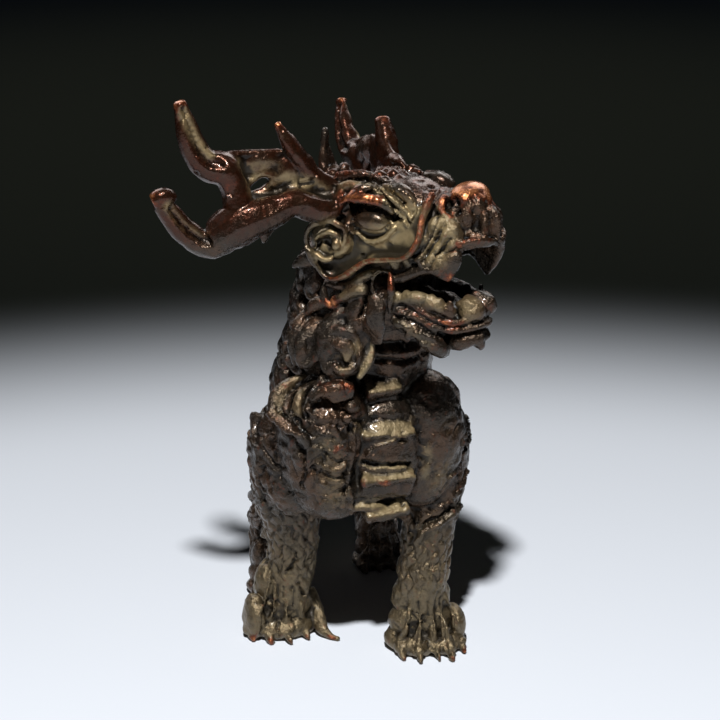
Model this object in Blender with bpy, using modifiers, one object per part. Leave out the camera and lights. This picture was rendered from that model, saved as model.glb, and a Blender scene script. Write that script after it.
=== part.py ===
"""A small cast brass beast: horned, open-mouthed and scaled, standing on four clawed feet."""

from math import cos, pi, radians, sin

import bmesh
import bpy
from mathutils import Euler, Matrix, Vector

# Sizes in metres, and the pose
HEIGHT = 0.103  # from the soles to the tip of the tallest antler tine
CARVING_FINENESS = 0.00055  # the smallest form that the solid carries
HEAD_TURN = 40  # degrees that the head looks to the beast's left
LEFT_ANTLER_DROP = 18  # degrees that the left antler hangs below the right one
FACE_COUNT = 9800

# The figure is laid out in parts of which its height has 103: x to the beast's left, y to its tail, z up.
UNIT = HEIGHT / 103
MIDLINE = 1.6  # the trunk stands a little to the left of the point between the forefeet
HEAD_AT = Vector((4.0, -14.0, 82.8))

SIDES = (-1, 1)  # right, left
# Of each scute: the height of its upper ledge, its own height, how far forward it stands, half its width
SCUTES = (
    (53.6, 6.0, -16.2, 4.4),
    (47.2, 7.2, -19.2, 5.7),
    (39.2, 6.4, -20.2, 5.7),
    (32.4, 2.6, -19.4, 5.2),
)


def clear_scene():
    for obj in list(bpy.data.objects):
        bpy.data.objects.remove(obj, do_unlink=True)


def add_collection(name):
    group = bpy.data.collections.new(name)
    bpy.context.scene.collection.children.link(group)
    return group


class Model:
    """The masses and strands that one casting is built up from, before they are fused."""

    def __init__(self):
        self.masses = bmesh.new()
        self.strands = bpy.data.curves.new("strands", "CURVE")
        self.strands.dimensions = "3D"
        self.strands.bevel_depth = UNIT
        self.strands.bevel_resolution = 2
        self.strands.resolution_u = 5
        self.strands.use_fill_caps = True

    def mass(self, frame, centre, radii, turn=(0, 0, 0)):
        """An ellipsoid, turned by degrees about its own x, y and z."""
        spin = Euler([radians(a) for a in turn]).to_matrix().to_4x4()
        shape = Matrix.Diagonal((*radii, 1))
        bmesh.ops.create_uvsphere(
            self.masses,
            u_segments=24,
            v_segments=14,
            radius=1,
            matrix=frame @ Matrix.Translation(centre) @ spin @ shape,
        )

    def block(self, frame, centre, half, turn=(0, 0, 0)):
        """A box given by its half sizes."""
        spin = Euler([radians(a) for a in turn]).to_matrix().to_4x4()
        shape = Matrix.Diagonal((*half, 1))
        bmesh.ops.create_cube(
            self.masses, size=2, matrix=frame @ Matrix.Translation(centre) @ spin @ shape
        )

    def strand(self, frame, points, radii):
        """A round tapering strand through the points, with a radius at each."""
        spline = self.strands.splines.new("BEZIER")
        spline.bezier_points.add(len(points) - 1)
        spline.radius_interpolation = "CARDINAL"
        for knot, point, radius in zip(spline.bezier_points, points, radii):
            knot.co = frame @ Vector(point)
            knot.radius = radius
            knot.handle_left_type = "AUTO"
            knot.handle_right_type = "AUTO"

    def lock(self, frame, points, radii, aside, count=3):
        """Strands lying side by side that meet at the tip, as a carved lock of hair or a leaf."""
        last = len(points) - 1
        for k in range(count):
            offset = Vector(aside) * (k - (count - 1) / 2)
            spread = [sin(pi * (0.15 + 0.8 * i / last)) for i in range(last + 1)]
            path = [Vector(p) + offset * s for p, s in zip(points, spread)]
            self.strand(frame, path, radii)

    def scroll(self, frame, centre, across, up, radii, thickness, turns=1.3, start=0):
        """A strand wound inwards, between an outer and an inner radius, in the plane of two directions."""
        outer, inner = radii
        steps = max(6, round(8 * turns))
        points = []
        for i in range(steps + 1):
            share = i / steps
            angle = radians(start) + 2 * pi * turns * share
            reach = outer + (inner - outer) * share
            points.append(
                Vector(centre) + reach * (cos(angle) * Vector(across) + sin(angle) * Vector(up))
            )
        self.strand(frame, points, [thickness * (1 - 0.3 * i / steps) for i in range(steps + 1)])

    def joined(self):
        """One mesh holding every mass and strand."""
        guide = bpy.data.objects.new("strands", self.strands)
        bpy.context.scene.collection.objects.link(guide)
        bpy.context.view_layer.update()
        graph = bpy.context.evaluated_depsgraph_get()
        tubes = bpy.data.meshes.new_from_object(guide.evaluated_get(graph))
        bpy.data.objects.remove(guide, do_unlink=True)
        self.masses.from_mesh(tubes)
        bpy.data.meshes.remove(tubes)
        bmesh.ops.remove_doubles(self.masses, verts=self.masses.verts[:], dist=1e-6)
        bmesh.ops.recalc_face_normals(self.masses, faces=self.masses.faces[:])
        mesh = bpy.data.meshes.new("taotie_beast")
        self.masses.to_mesh(mesh)
        self.masses.free()
        return mesh


BODY = Matrix.Scale(UNIT, 4)
# In the head's frame x runs forward to the nose, y to the beast's left and z up, from between the eyes.
HEAD = BODY @ Matrix.Translation(HEAD_AT) @ Matrix.Rotation(radians(HEAD_TURN - 90), 4, "Z")


def spine_x(y):
    """The back bends to the beast's left towards the tail."""
    return MIDLINE + 0.0062 * max(0, y + 4) ** 2


def back_z(y):
    """Height of the ridge along the back."""
    return 55.8 - 0.0165 * (y + 2) ** 2


def add_trunk(model):
    model.mass(BODY, (MIDLINE, -5, 43), (13, 12, 13))
    model.mass(BODY, (spine_x(8), 8, 40), (11.8, 15, 10))
    model.mass(BODY, (spine_x(18), 18, 37.5), (10.5, 10.5, 10))
    model.mass(BODY, (spine_x(2), 2, 49), (10, 9, 8))
    model.mass(BODY, (-4.2, 2.5, 45.5), (8.4, 8.5, 8.5))
    model.mass(BODY, (9.5, 1, 44.5), (8, 8.5, 8))
    for i in range(9):
        y = 3 + 3.1 * i
        model.mass(BODY, (spine_x(y), y, back_z(y)), (1.5, 1.9, 2.6), (-20, 0, 0))


def add_chest(model):
    """The front of the trunk, with the scutes that come down it like steps."""
    model.mass(BODY, (-7.6, -11.5, 44.5), (8.8, 7.6, 10.8), (0, 10, 0))
    model.mass(BODY, (11.2, -12, 43), (6.6, 7.0, 11.0), (0, -8, 0))
    model.mass(BODY, (1.8, -11, 41), (9.5, 8.5, 11.5))
    model.mass(BODY, (-6.5, -11, 33), (6.5, 7.5, 5.0))
    for ledge, height, front, half in SCUTES:
        centre = (1.1 + 0.1 * (ledge - 45), front + 4.8, ledge - height / 2)
        model.block(BODY, centre, (half, 4.2, height / 2 - 0.4), (15, 0, 0))
    # The rolled borders at both sides of the scutes
    right = ((-6.0, -18.4, 52), (-6.0, -20.6, 45), (-5.8, -20.2, 38), (-5.4, -18.4, 32))
    left = ((8.2, -17, 52), (8.4, -19.4, 45), (8.0, -19.2, 38), (7.4, -17.4, 32))
    model.strand(BODY, right, (1.0, 1.2, 1.2, 0.8))
    model.strand(BODY, left, (0.9, 1.1, 1.1, 0.8))


def add_shoulders(model):
    model.mass(BODY, (-12.4, -4.0, 39.6), (5.8, 8.0, 8.6))
    model.mass(BODY, (-11.6, -5.0, 34.0), (6.2, 7.2, 7.0))
    model.mass(BODY, (15.0, -6.5, 38.6), (5.8, 7.8, 8.6))
    model.mass(BODY, (13.2, -9.0, 31.0), (5.6, 6.6, 6.4))
    # Leaf curls and the rolled lock over the right breast
    leaf = ((-14.6, -14.2, 46.5), (-15.6, -12.4, 50.5), (-13.2, -11.0, 54.5))
    model.lock(BODY, leaf, (1.9, 1.7, 0.5), (1.3, -0.6, -0.3))
    leaf = ((-10.6, -17.0, 47.0), (-11.8, -15.6, 51.0), (-10.2, -13.4, 55.0))
    model.lock(BODY, leaf, (1.7, 1.5, 0.5), (1.2, -0.5, 0))
    model.strand(BODY, ((-12.5, -17.2, 53.4), (-10.0, -18.6, 54.4), (-7.2, -19.4, 55.0)), (1.2, 1.9, 1.5))
    model.scroll(BODY, (-10.2, -17.6, 50.6), (1, -0.3, 0), (0, -0.2, 1), (2.6, 1.6), 1.0, 0.9, 20)
    fold = ((-15.8, -13.6, 48.0), (-15.4, -16.0, 44.5), (-12.8, -18.4, 41.0), (-9.8, -19.0, 38.4))
    model.strand(BODY, fold, (1.6, 1.9, 1.6, 0.8))
    # The flame-shaped curl behind the left breast
    flame = ((12.8, -13.0, 50.5), (16.4, -9.5, 49.0), (18.4, -7.6, 44.5), (17.6, -8.6, 39.5))
    model.strand(BODY, flame, (0.7, 1.5, 1.7, 0.9))
    for side, out in zip(SIDES, (-17.4, 20.2)):
        edge = ((out - side * 0.6, -1, 45), (out, -3, 39), (out - side * 1.5, -4, 32))
        model.strand(BODY, edge, (1.2, 1.5, 0.9))


def add_paw(model, at, heading=0, size=1.0, dewclaw=0):
    """A broad paw: four toes with tendons over the back of it, claws, and a claw on the inner side."""
    turn = Matrix.Rotation(radians(heading), 4, "Z")
    spot = BODY @ Matrix.Translation((*at, 0)) @ turn @ Matrix.Scale(size, 4)
    model.mass(spot, (0, 1.0, 3.2), (6.2, 5.2, 3.9))
    model.mass(spot, (0, 1.6, 7.0), (5.2, 3.8, 4.6))
    model.mass(spot, (0, 3.6, 3.0), (4.6, 3.4, 3.6))
    for k in range(4):
        x = (k - 1.5) * 3.55
        reach = -5.2 + 0.35 * (k - 1.5) ** 2
        toe = (
            (x * 0.5, -0.6, 12.5),
            (x * 0.68, -1.2, 8.8),
            (x * 0.9, -2.2, 5.6),
            (x, reach + 1.8, 3.2),
            (x * 1.04, reach + 0.2, 1.6),
        )
        model.strand(spot, toe, (0.9, 1.4, 1.8, 2.0, 1.6))
        claw = ((x * 1.04, reach - 0.4, 1.7), (x * 1.06, reach - 1.5, 1.0), (x * 1.08, reach - 2.1, 0.2))
        model.strand(spot, claw, (1.0, 0.8, 0.35))
    if dewclaw:
        inner = ((5.0, 1.5, 5.5), (6.4, -0.6, 2.8), (7.4, -2.6, 0.9), (8.6, -4.0, 0.3))
        model.strand(spot, [(dewclaw * x, y, z) for x, y, z in inner], (1.5, 1.6, 0.9, 0.3))


def add_forelegs(model):
    model.strand(
        BODY,
        ((-12.4, -3, 41), (-12.0, -1.4, 31), (-10.2, 0.8, 21), (-10.0, 2.2, 14), (-11.0, 2.8, 6)),
        (7.0, 6.1, 4.9, 4.3, 3.8),
    )
    add_paw(model, (-11.3, 2.4), 4, 1.03, dewclaw=1)
    model.strand(
        BODY,
        ((14.8, -6.5, 40), (13.8, -9.2, 31), (11.9, -11.0, 21), (10.8, -11.6, 14), (10.8, -11.6, 6)),
        (6.6, 5.6, 4.4, 4.4, 3.9),
    )
    add_paw(model, (10.8, -12.0), -3, 1.03)
    # Tufts behind the elbows
    for x, y, side in ((-15.2, 1.5, -1), (17.4, -5.0, 1)):
        for k in range(3):
            z = 30 - 5.5 * k
            inward = x - side * k
            tuft = ((inward, y, z + 3), (inward + side * 0.4, y + 2.4, z), (inward, y + 4.6, z - 1.2))
            model.strand(BODY, tuft, (1.5, 1.3, 0.4))


def add_hindquarters(model):
    for side, paw in zip(SIDES, ((-6.6, 19.5), (15.4, 24.5))):
        hip = spine_x(18) + side * 6.2
        foot_x, foot_y = paw
        model.mass(BODY, (hip, foot_y - 3.0, 32.5), (5.8, 8.4, 9.6))
        model.strand(
            BODY,
            (
                (hip + side * 0.6, foot_y - 4.5, 30),
                (hip + side * 1.4, foot_y - 6.5, 22),
                (foot_x, foot_y + 1.5, 16),
                (foot_x, foot_y + 4.6, 11),
                (foot_x, foot_y + 2.6, 5),
            ),
            (6.6, 5.2, 4.1, 3.4, 3.9),
        )
        add_paw(model, (foot_x, foot_y), 0, 0.8)
        for k in range(3):
            z = 20 - 4 * k
            tuft = (
                (foot_x + side * 1.6, foot_y + 3, z),
                (foot_x + side * 2.0, foot_y + 6.4, z - 2.5),
                (foot_x + side, foot_y + 8.4, z - 2),
            )
            model.strand(BODY, tuft, (1.5, 1.2, 0.4))


def add_tail(model):
    """A plume that lies against the rump and turns up at its tip."""
    x = spine_x(27)
    model.strand(BODY, ((x, 25, 42), (x, 29.5, 38), (x, 31.5, 31), (x, 30.5, 25)), (3.4, 3.4, 3.6, 1.2))
    for side in SIDES:
        for k in range(3):
            z = 41 - 4.5 * k
            lobe = (
                (x + side * 1.4, 29 + k * 0.6, z),
                (x + side * 3.4, 31.6 + k * 0.3, z - 4.2),
                (x + side * 3.6, 33.2, z - 8.2),
                (x + side * 2.0, 34.4, z - 6.6),
            )
            model.strand(BODY, lobe, (1.7, 1.8, 1.2, 0.5))
    quill = ((x, 31, 40), (x, 33.4, 35), (x, 34.2, 29), (x, 35.4, 25.4), (x, 36.2, 27.4))
    model.strand(BODY, quill, (1.8, 2.0, 1.8, 1.2, 0.5))


def add_neck(model):
    throat = ((2.4, -2, 48), (4.2, -6.6, 57), (4.8, -9.0, 66), (4.2, -10.6, 76))
    nape = ((0.4, 2, 50), (0.2, 0.4, 58), (-0.2, -1.6, 66), (-0.4, -3.4, 74))
    model.strand(BODY, throat, (12.4, 9.8, 8.9, 8.6))
    model.strand(BODY, nape, (10.2, 9.2, 7.8, 7.0))
    for z, front, half in ((57.6, -15.4, 7.6), (62.0, -15.6, 6.8)):
        model.block(BODY, (4.6, front + 3.6, z), (half, 3.6, 1.7), (10, 0, 0))


def add_mane(model):
    """Rows of curling locks over the nape and both sides of the neck."""
    rows = ((73.5, 8.6, -4.6, 7), (66.5, 9.6, -2.6, 8), (59.5, 10.6, -0.6, 8), (52.5, 11.6, 1.2, 9))
    for row, (z, reach, back, count) in enumerate(rows):
        for k in range(count):
            share = (k + 0.5 * (row % 2)) / (count - 0.5)
            angle = radians(200 - 215 * share)
            out = Vector((cos(angle), sin(angle) * 0.86, 0))
            hub = Vector((1.0, back, z))
            along = Vector((-out.y, out.x, 0)) * (1 if k % 2 else -1)
            points = (
                hub + out * (reach - 1.4) + Vector((0, 0, 3.4)),
                hub + out * (reach + 0.4) + along * 1.2,
                hub + out * (reach + 1.5) - along * 0.4 + Vector((0, 0, -4.0)),
                hub + out * (reach + 2.9) - along * 1.8 + Vector((0, 0, -5.6)),
                hub + out * (reach + 3.1) - along * 2.4 + Vector((0, 0, -3.6)),
            )
            model.lock(BODY, points, (1.2, 1.5, 1.4, 1.0, 0.5), along * 1.3, 2)
    # The locks that hang before the right side of the neck
    front = ((-3.2, -19.5, 69.5), (-6.0, -19.0, 64.0), (-7.4, -17.8, 58.5), (-5.4, -18.8, 55.5))
    model.lock(BODY, front, (1.5, 1.7, 1.3, 0.5), (1.5, -0.6, 0.2))
    rear = ((-6.0, -14.5, 69.5), (-9.2, -13.0, 64.0), (-9.6, -13.6, 58.5), (-11.6, -12.2, 56.0))
    model.lock(BODY, rear, (1.6, 1.8, 1.3, 0.5), (1.2, -1.0, 0.2))
    model.scroll(BODY, (-7.6, -16.4, 61.4), (0.9, -0.5, 0), (0, 0, 1), (2.6, 0.9), 1.0, 1.4, 80)
    model.strand(BODY, ((-2.6, -18.6, 63.6), (-3.4, -18.8, 59.0), (-4.4, -19.2, 55.8)), (0.9, 0.9, 0.5))


def add_skull(model):
    model.mass(HEAD, (-3.4, -0.6, 0.4), (9.4, 8.0, 5.9), (-5, 0, 0))
    model.mass(HEAD, (-2.6, 0, -5.0), (8.4, 7.8, 6.4))
    model.mass(HEAD, (3.5, 0, 1.6), (7.0, 6.6, 4.4), (0, 12, 0))
    for side in SIDES:
        lean = 1.6 if side > 0 else 0
        model.mass(HEAD, (0.6, side * 6.0, -3.0), (8.6, 2.8, 4.6), (0, 0, side * -6))
        model.strand(
            HEAD,
            ((-7.2, side * 6.6, 5.9 - lean), (-2.4, side * 6.0, 6.5 - lean), (2.6, side * 5.0, 5.6 - lean)),
            (0.8, 0.9, 0.6),
        )
    # The bumps of the forehead
    for f, lat, u, r in (
        (1.2, 0, 4.9, 1.7),
        (4.4, 2.0, 3.9, 1.5),
        (4.4, -2.0, 4.2, 1.5),
        (7.2, 0, 3.4, 1.5),
        (-2.2, 2.6, 5.0, 1.6),
        (-2.2, -2.6, 5.6, 1.6),
    ):
        model.mass(HEAD, (f, lat, u), (r, r, r))
    # The upright tuft at the back of the crown
    model.mass(HEAD, (-9.4, -2.4, 4.4), (3.4, 3.6, 2.6))
    model.strand(HEAD, ((-10.6, -3.4, 5.0), (-11.4, -3.8, 9.6), (-11.2, -4.0, 14.2)), (1.5, 1.0, 0.45))


def add_eyes(model):
    for side in SIDES:
        lean = 1.2 if side > 0 else 0
        model.mass(HEAD, (0.0, side * 8.0, 0.0), (3.1, 2.3, 2.2))
        lid = (
            (-3.8, side * 8.6, -0.4),
            (-1.9, side * 9.2, -2.4),
            (1.2, side * 9.0, -2.4),
            (3.5, side * 8.0, -0.5),
        )
        model.strand(HEAD, lid, (0.4, 0.7, 0.7, 0.35))
        brow = (
            (-7.4, side * 9.0, 0.2),
            (-4.8, side * 9.6, 2.9),
            (-1.4, side * 9.5, 4.0),
            (1.8, side * 8.8, 3.0),
            (4.2, side * 7.8, 0.9),
        )
        model.strand(HEAD, brow, (0.6, 0.8, 0.9, 0.8, 0.4))
        shelf = (
            (-6.0, side * 7.0, 3.6 - lean),
            (-1.6, side * 6.6, 4.6 - lean),
            (2.8, side * 5.8, 3.8 - lean),
        )
        model.strand(HEAD, shelf, (1.2, 1.6, 1.2))
        # The leaf-like tuft that crosses the brow
        leaf = (
            (-0.8, side * 6.4, 5.0 - lean),
            (2.2, side * 7.4, 4.2 - lean),
            (5.0, side * 7.6, 2.5 - lean),
            (7.2, side * 7.0, 0.6),
        )
        model.lock(HEAD, leaf, (0.7, 0.9, 0.8, 0.35), (0.8, 0, 1.3), 4)


def add_muzzle(model):
    model.mass(HEAD, (9.0, 0, 0.0), (9.0, 6.0, 4.0))
    model.mass(HEAD, (16.0, 0, 0.8), (3.6, 4.8, 2.6))
    model.mass(HEAD, (14.6, 0, 3.7), (3.5, 3.8, 2.7))
    model.mass(HEAD, (17.0, 0, -0.6), (2.6, 5.0, 2.0))
    for side in SIDES:
        model.mass(HEAD, (7.4, side * 5.6, -3.4), (6.6, 2.0, 3.6), (0, -14, 0))
        model.mass(HEAD, (12.4, side * 5.0, -1.0), (3.4, 2.2, 3.0))
        # Nostril wings, wrinkles and the lip
        model.mass(HEAD, (12.0, side * 4.6, 2.2), (1.7, 1.5, 1.8))
        for k in range(3):
            f = 9.4 + 1.5 * k
            wrinkle = (
                (f, side * 5.4, 3.4 - k),
                (f + 0.8, side * 6.7, 0.8 - k),
                (f - 0.6, side * 7.2, -2.4 - 0.4 * k),
            )
            model.strand(HEAD, wrinkle, (0.7, 0.8, 0.5))
        lip = (
            (3.6, side * 8.3, -9.0),
            (7.0, side * 8.1, -7.6),
            (10.6, side * 7.4, -6.4),
            (13.4, side * 6.2, -4.6),
            (15.2, side * 5.6, -2.6),
        )
        model.strand(HEAD, lip, (0.9, 1.1, 1.2, 1.2, 1.0))
        lip = (
            (15.2, side * 5.6, -2.6),
            (17.6, side * 4.6, -1.6),
            (19.2, side * 2.4, -1.6),
            (19.6, 0, -1.8),
        )
        model.strand(HEAD, lip, (1.0, 1.1, 1.2, 1.3))
        fang = ((13.6, side * 6.0, -3.6), (13.8, side * 6.1, -6.2), (13.4, side * 6.0, -8.7))
        model.strand(HEAD, fang, (1.5, 1.1, 0.35))
        for k in range(3):
            f = 6.4 + 2.2 * k
            tooth = ((f, side * 6.6, -6.6 + 0.5 * k), (f + 0.2, side * 6.6, -9.0 + 0.5 * k))
            model.strand(HEAD, tooth, (0.9, 0.35))
    # The broader lip that hangs at the left of the mouth
    hanging = ((17.2, 4.0, -1.6), (17.4, 4.8, -4.6), (16.2, 4.6, -8.0), (15.4, 4.2, -9.8))
    model.strand(HEAD, hanging, (1.3, 1.6, 1.2, 0.4))


def add_cheek_flange(model):
    """The rolled rim that sweeps from the bridge of the nose under the eye to the ear."""
    rim = (
        (9.6, 5.6, 4.4),
        (9.3, 6.8, 2.4),
        (9.0, 8.0, -0.9),
        (7.8, 9.0, -3.7),
        (5.6, 9.6, -5.1),
        (2.1, 10.0, -5.5),
        (-1.4, 10.2, -7.1),
        (-5.4, 9.9, -9.9),
        (-8.6, 9.6, -9.6),
        (-10.2, 10.4, -5.4),
    )
    for side, first in zip(SIDES, (0, 1)):
        points = [(f, side * lat, u) for f, lat, u in rim[first:]]
        model.strand(HEAD, points, [0.4, *[0.8] * (len(points) - 2), 0.5])
        model.mass(HEAD, (-2.6, side * 7.9, -4.6), (6.6, 1.5, 4.0), (0, 16, side * 2))
        model.mass(HEAD, (4.6, side * 6.9, -2.0), (5.0, 1.6, 3.4), (0, 0, side * -10))
        model.mass(HEAD, (-7.4, side * 9.0, -6.4), (2.8, 1.3, 3.8))


def add_ears(model):
    for side in SIDES:
        model.mass(HEAD, (-7.2, side * 9.0, -3.2), (4.0, 1.6, 3.6))
        model.scroll(HEAD, (-7.2, side * 10.4, -3.2), (-1, 0, 0), (0, 0, 1), (3.6, 2.6), 0.95, 0.95, -30)
        model.mass(HEAD, (-5.9, side * 10.8, -4.0), (1.1, 1.1, 1.1))
        point = ((-10.2, side * 10.6, -2.6), (-11.2, side * 11.0, -4.6), (-11.0, side * 11.3, -6.2))
        model.strand(HEAD, point, (0.8, 0.7, 0.3))
        # The locks behind the ear
        low = ((-8.6, side * 9.4, -9.4), (-11.2, side * 10.2, -11.0), (-13.2, side * 10.4, -13.6))
        model.strand(HEAD, low, (1.5, 1.1, 0.4))
        high = ((-9.0, side * 8.6, -7.4), (-12.4, side * 9.2, -7.8), (-14.4, side * 9.6, -9.0))
        model.strand(HEAD, high, (1.4, 1.0, 0.4))
        model.mass(HEAD, (-5.6, side * 9.4, -12.6), (1.7, 1.5, 1.4))


def add_jaw(model):
    model.mass(HEAD, (-1.0, 0, -12.0), (5.6, 6.8, 5.0))
    model.mass(HEAD, (9.0, 0, -16.4), (8.4, 5.6, 2.3), (0, 2, 0))
    model.mass(HEAD, (15.6, 0, -14.2), (2.4, 3.4, 2.0))
    model.strand(HEAD, ((0.0, 0, -11.0), (5.0, 0, -13.4), (11.0, 0, -13.8)), (3.2, 2.4, 1.7))
    model.mass(HEAD, (12.4, 0, -13.2), (2.4, 2.1, 0.9))
    for side in SIDES:
        rim = (
            (1.0, side * 8.0, -12.6),
            (5.2, side * 8.0, -13.6),
            (8.8, side * 7.4, -13.2),
            (12.2, side * 6.0, -14.4),
            (15.4, side * 3.4, -14.2),
            (16.9, 0, -14.2),
        )
        model.strand(HEAD, rim, (1.6, 1.4, 1.5, 1.3, 1.5, 1.7))
        under = (
            (4.0, side * 7.2, -15.0),
            (9.0, side * 6.6, -15.6),
            (13.6, side * 4.8, -16.4),
            (16.8, side * 0.6, -16.6),
        )
        model.strand(HEAD, under, (1.2, 1.3, 1.3, 1.2))
        model.strand(HEAD, ((13.8, side * 5.0, -14.0), (13.9, side * 5.1, -12.2)), (0.9, 0.4))
        for k in range(3):
            f = 6.2 + 2.1 * k
            model.strand(HEAD, ((f, side * 6.8, -13.4), (f, side * 6.7, -11.6)), (0.8, 0.35))
        # The loop and thorn at the corner of the mouth
        model.scroll(HEAD, (1.6, side * 8.8, -10.0), (1, 0, 0), (0, 0, 1), (2.3, 1.9), 0.75, 0.85, 60)
        thorn = ((3.7, side * 8.6, -8.6), (4.0, side * 8.9, -10.4), (3.9, side * 8.8, -12.6))
        model.strand(HEAD, thorn, (0.5, 0.8, 0.5))
    model.strand(HEAD, ((17.2, 0, -14.6), (17.9, 0, -16.2), (17.2, 0, -17.8)), (1.3, 1.1, 0.5))


def add_beard(model):
    """The knobbed band under the jaw, the pointed chin tuft, and the fan of locks behind the jaw."""
    for side in SIDES:
        band = (
            (3.0, side * 7.8, -15.4),
            (7.6, side * 7.2, -17.4),
            (11.6, side * 5.2, -20.2),
            (13.4, side * 2.0, -20.6),
        )
        model.strand(HEAD, band, (1.4, 2.2, 2.2, 1.5))
        for k in range(4):
            share = k / 3
            knob = (6.0 + 5.4 * share, side * (8.4 - 2.6 * share), -16.6 - 4.2 * share)
            model.mass(HEAD, knob, (1.3, 1.1, 1.2))
        for f, u in ((-4.4, -16.0), (-2.6, -18.6), (-0.2, -20.2), (2.4, -20.8), (5.0, -20.0)):
            spray = (
                (0.8, side * 8.2, -10.4),
                ((f + 1.0) / 2, side * 9.2, (u - 11.6) / 2),
                (f, side * 8.2, u),
                (f - 1.2, side * 7.4, u - 2.0),
            )
            model.lock(HEAD, spray, (0.9, 1.1, 0.9, 0.35), (1.1, 0, 0.3), 2)
    model.mass(HEAD, (9.0, 0, -18.0), (6.0, 5.0, 2.6))
    chin = ((11.0, 0, -18.6), (14.0, 0, -20.0), (16.6, 0, -22.0))
    model.lock(HEAD, chin, (1.8, 1.5, 0.4), (0, 1.6, 0))


def add_antler(model, side, root, splay, drop, spike, spike_radii):
    """A forked antler: a rolled beam with a trough above it, a pierced plate, a spike and two tines.

    In its frame x runs out along the beam, y to the front and z up.
    """
    outward = Vector((-cos(radians(splay)), side * sin(radians(splay)), 0))
    front = Vector((sin(radians(splay)), side * cos(radians(splay)), 0))
    axes = Matrix((outward, front, (0, 0, 1))).transposed().to_4x4()
    frame = HEAD @ Matrix.Translation(root) @ axes @ Matrix.Rotation(radians(drop), 4, "Y")
    # The rolled beam, which carries on as the lower tine
    beam = (
        (-2.5, 0.4, -1.6),
        (2.5, 0.6, -2.2),
        (6.8, 0.8, -1.0),
        (11.0, 0.8, -2.2),
        (15.0, 0.6, -3.4),
        (18.2, 0, -5.4),
        (21.2, -0.6, -7.2),
        (24.6, -0.8, -5.2),
        (27.2, -0.6, -2.0),
        (28.6, 0, 0.0),
    )
    model.strand(frame, beam, (2.4, 2.5, 2.4, 3.0, 3.7, 3.4, 2.4, 2.1, 1.8, 1.5))
    model.strand(frame, ((26.6, -0.3, 0.6), (28.2, 0.3, 1.2), (30.0, 0.2, 0.4)), (0.9, 1.3, 1.2))
    model.strand(frame, ((11.0, 0.8, -4.4), (11.7, 0.6, -6.0), (12.0, 0.4, -7.6)), (1.2, 0.8, 0.3))
    # The web and the upper tine
    tine = (
        (15.8, 0.4, -2.0),
        (16.5, 0.2, 2.0),
        (18.0, 0, 4.8),
        (21.0, -0.3, 6.0),
        (23.2, -0.5, 9.2),
        (24.2, -0.4, 12.4),
        (25.2, 0, 16.2),
    )
    model.strand(frame, tine, (2.8, 2.5, 2.7, 2.5, 2.1, 1.7, 0.9))
    # The plate between them, with its small hole
    model.mass(frame, (1.6, -0.8, 0.6), (4.4, 1.5, 2.6), (0, -16, 0))
    model.mass(frame, (6.6, -0.9, 3.2), (4.4, 1.4, 4.2), (0, -20, 0))
    model.mass(frame, (12.6, -1.1, 5.3), (5.0, 1.3, 2.1), (0, 6, 0))
    model.mass(frame, (16.2, -0.6, 3.2), (2.2, 1.6, 4.6))
    model.scroll(frame, (12.6, -1.0, 1.9), (1, 0, -0.4), (0.1, 0, 0.8), (2.3, 2.3), 0.95, 1)
    model.strand(frame, ((0.0, -0.6, 1.2), (4.0, -1.2, 4.6), (8.4, -1.2, 7.0)), (0.9, 0.9, 0.8))
    model.strand(frame, ((8.4, -1.2, 7.0), (13.0, -1.2, 6.9), (17.4, -0.6, 6.8)), (0.8, 0.8, 1.0))
    base, tip = spike
    middle = (base + tip) / 2 - Vector((0, 0, 0.6))
    upper = (middle + tip) / 2 - Vector((0, 0, 0.2))
    model.strand(frame, (base, middle, upper, tip), spike_radii)


def build_casting():
    model = Model()
    add_trunk(model)
    add_chest(model)
    add_shoulders(model)
    add_forelegs(model)
    add_hindquarters(model)
    add_tail(model)
    add_neck(model)
    add_mane(model)
    add_skull(model)
    add_eyes(model)
    add_muzzle(model)
    add_cheek_flange(model)
    add_ears(model)
    add_jaw(model)
    add_beard(model)
    slim = (Vector((2.0, -0.8, 0.8)), Vector((9.2, -0.4, 12.0)))
    stout = (Vector((3.4, -0.6, 0.0)), Vector((6.2, -0.2, 9.8)))
    add_antler(model, -1, (-7.0, -8.8, 4.2), 45, 0, slim, (1.2, 1.7, 1.2, 0.5))
    add_antler(model, 1, (-3.6, 9.4, 5.0), 38, LEFT_ANTLER_DROP, stout, (1.4, 1.8, 1.8, 1.2))
    return model.joined()


def fuse(obj):
    """Turns the overlapping shapes into one skin of few faces."""
    remesh = obj.modifiers.new("Fuse", "REMESH")
    remesh.mode = "VOXEL"
    remesh.voxel_size = CARVING_FINENESS
    apply_modifiers(obj)
    keep_largest_body(obj.data)
    smooth = obj.modifiers.new("Soften", "SMOOTH")
    smooth.factor = 0.5
    smooth.iterations = 2
    thin = obj.modifiers.new("Thin", "DECIMATE")
    thin.ratio = min(1.0, FACE_COUNT / (2 * len(obj.data.polygons)))
    thin.use_collapse_triangulate = True
    apply_modifiers(obj)


def apply_modifiers(obj):
    bpy.context.view_layer.update()
    graph = bpy.context.evaluated_depsgraph_get()
    made = bpy.data.meshes.new_from_object(obj.evaluated_get(graph))
    obj.modifiers.clear()
    old = obj.data
    obj.data = made
    bpy.data.meshes.remove(old)
    made.name = obj.name


def keep_largest_body(mesh):
    """Drops the sealed bubbles that the fusing leaves between strands."""
    bm = bmesh.new()
    bm.from_mesh(mesh)
    seen = set()
    bodies = []
    for start in bm.verts:
        if start in seen:
            continue
        body = [start]
        seen.add(start)
        for vert in body:
            for edge in vert.link_edges:
                other = edge.other_vert(vert)
                if other not in seen:
                    seen.add(other)
                    body.append(other)
        bodies.append(body)
    bodies.sort(key=len, reverse=True)
    for body in bodies[1:]:
        bmesh.ops.delete(bm, geom=body, context="VERTS")
    bm.to_mesh(mesh)
    bm.free()


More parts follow.
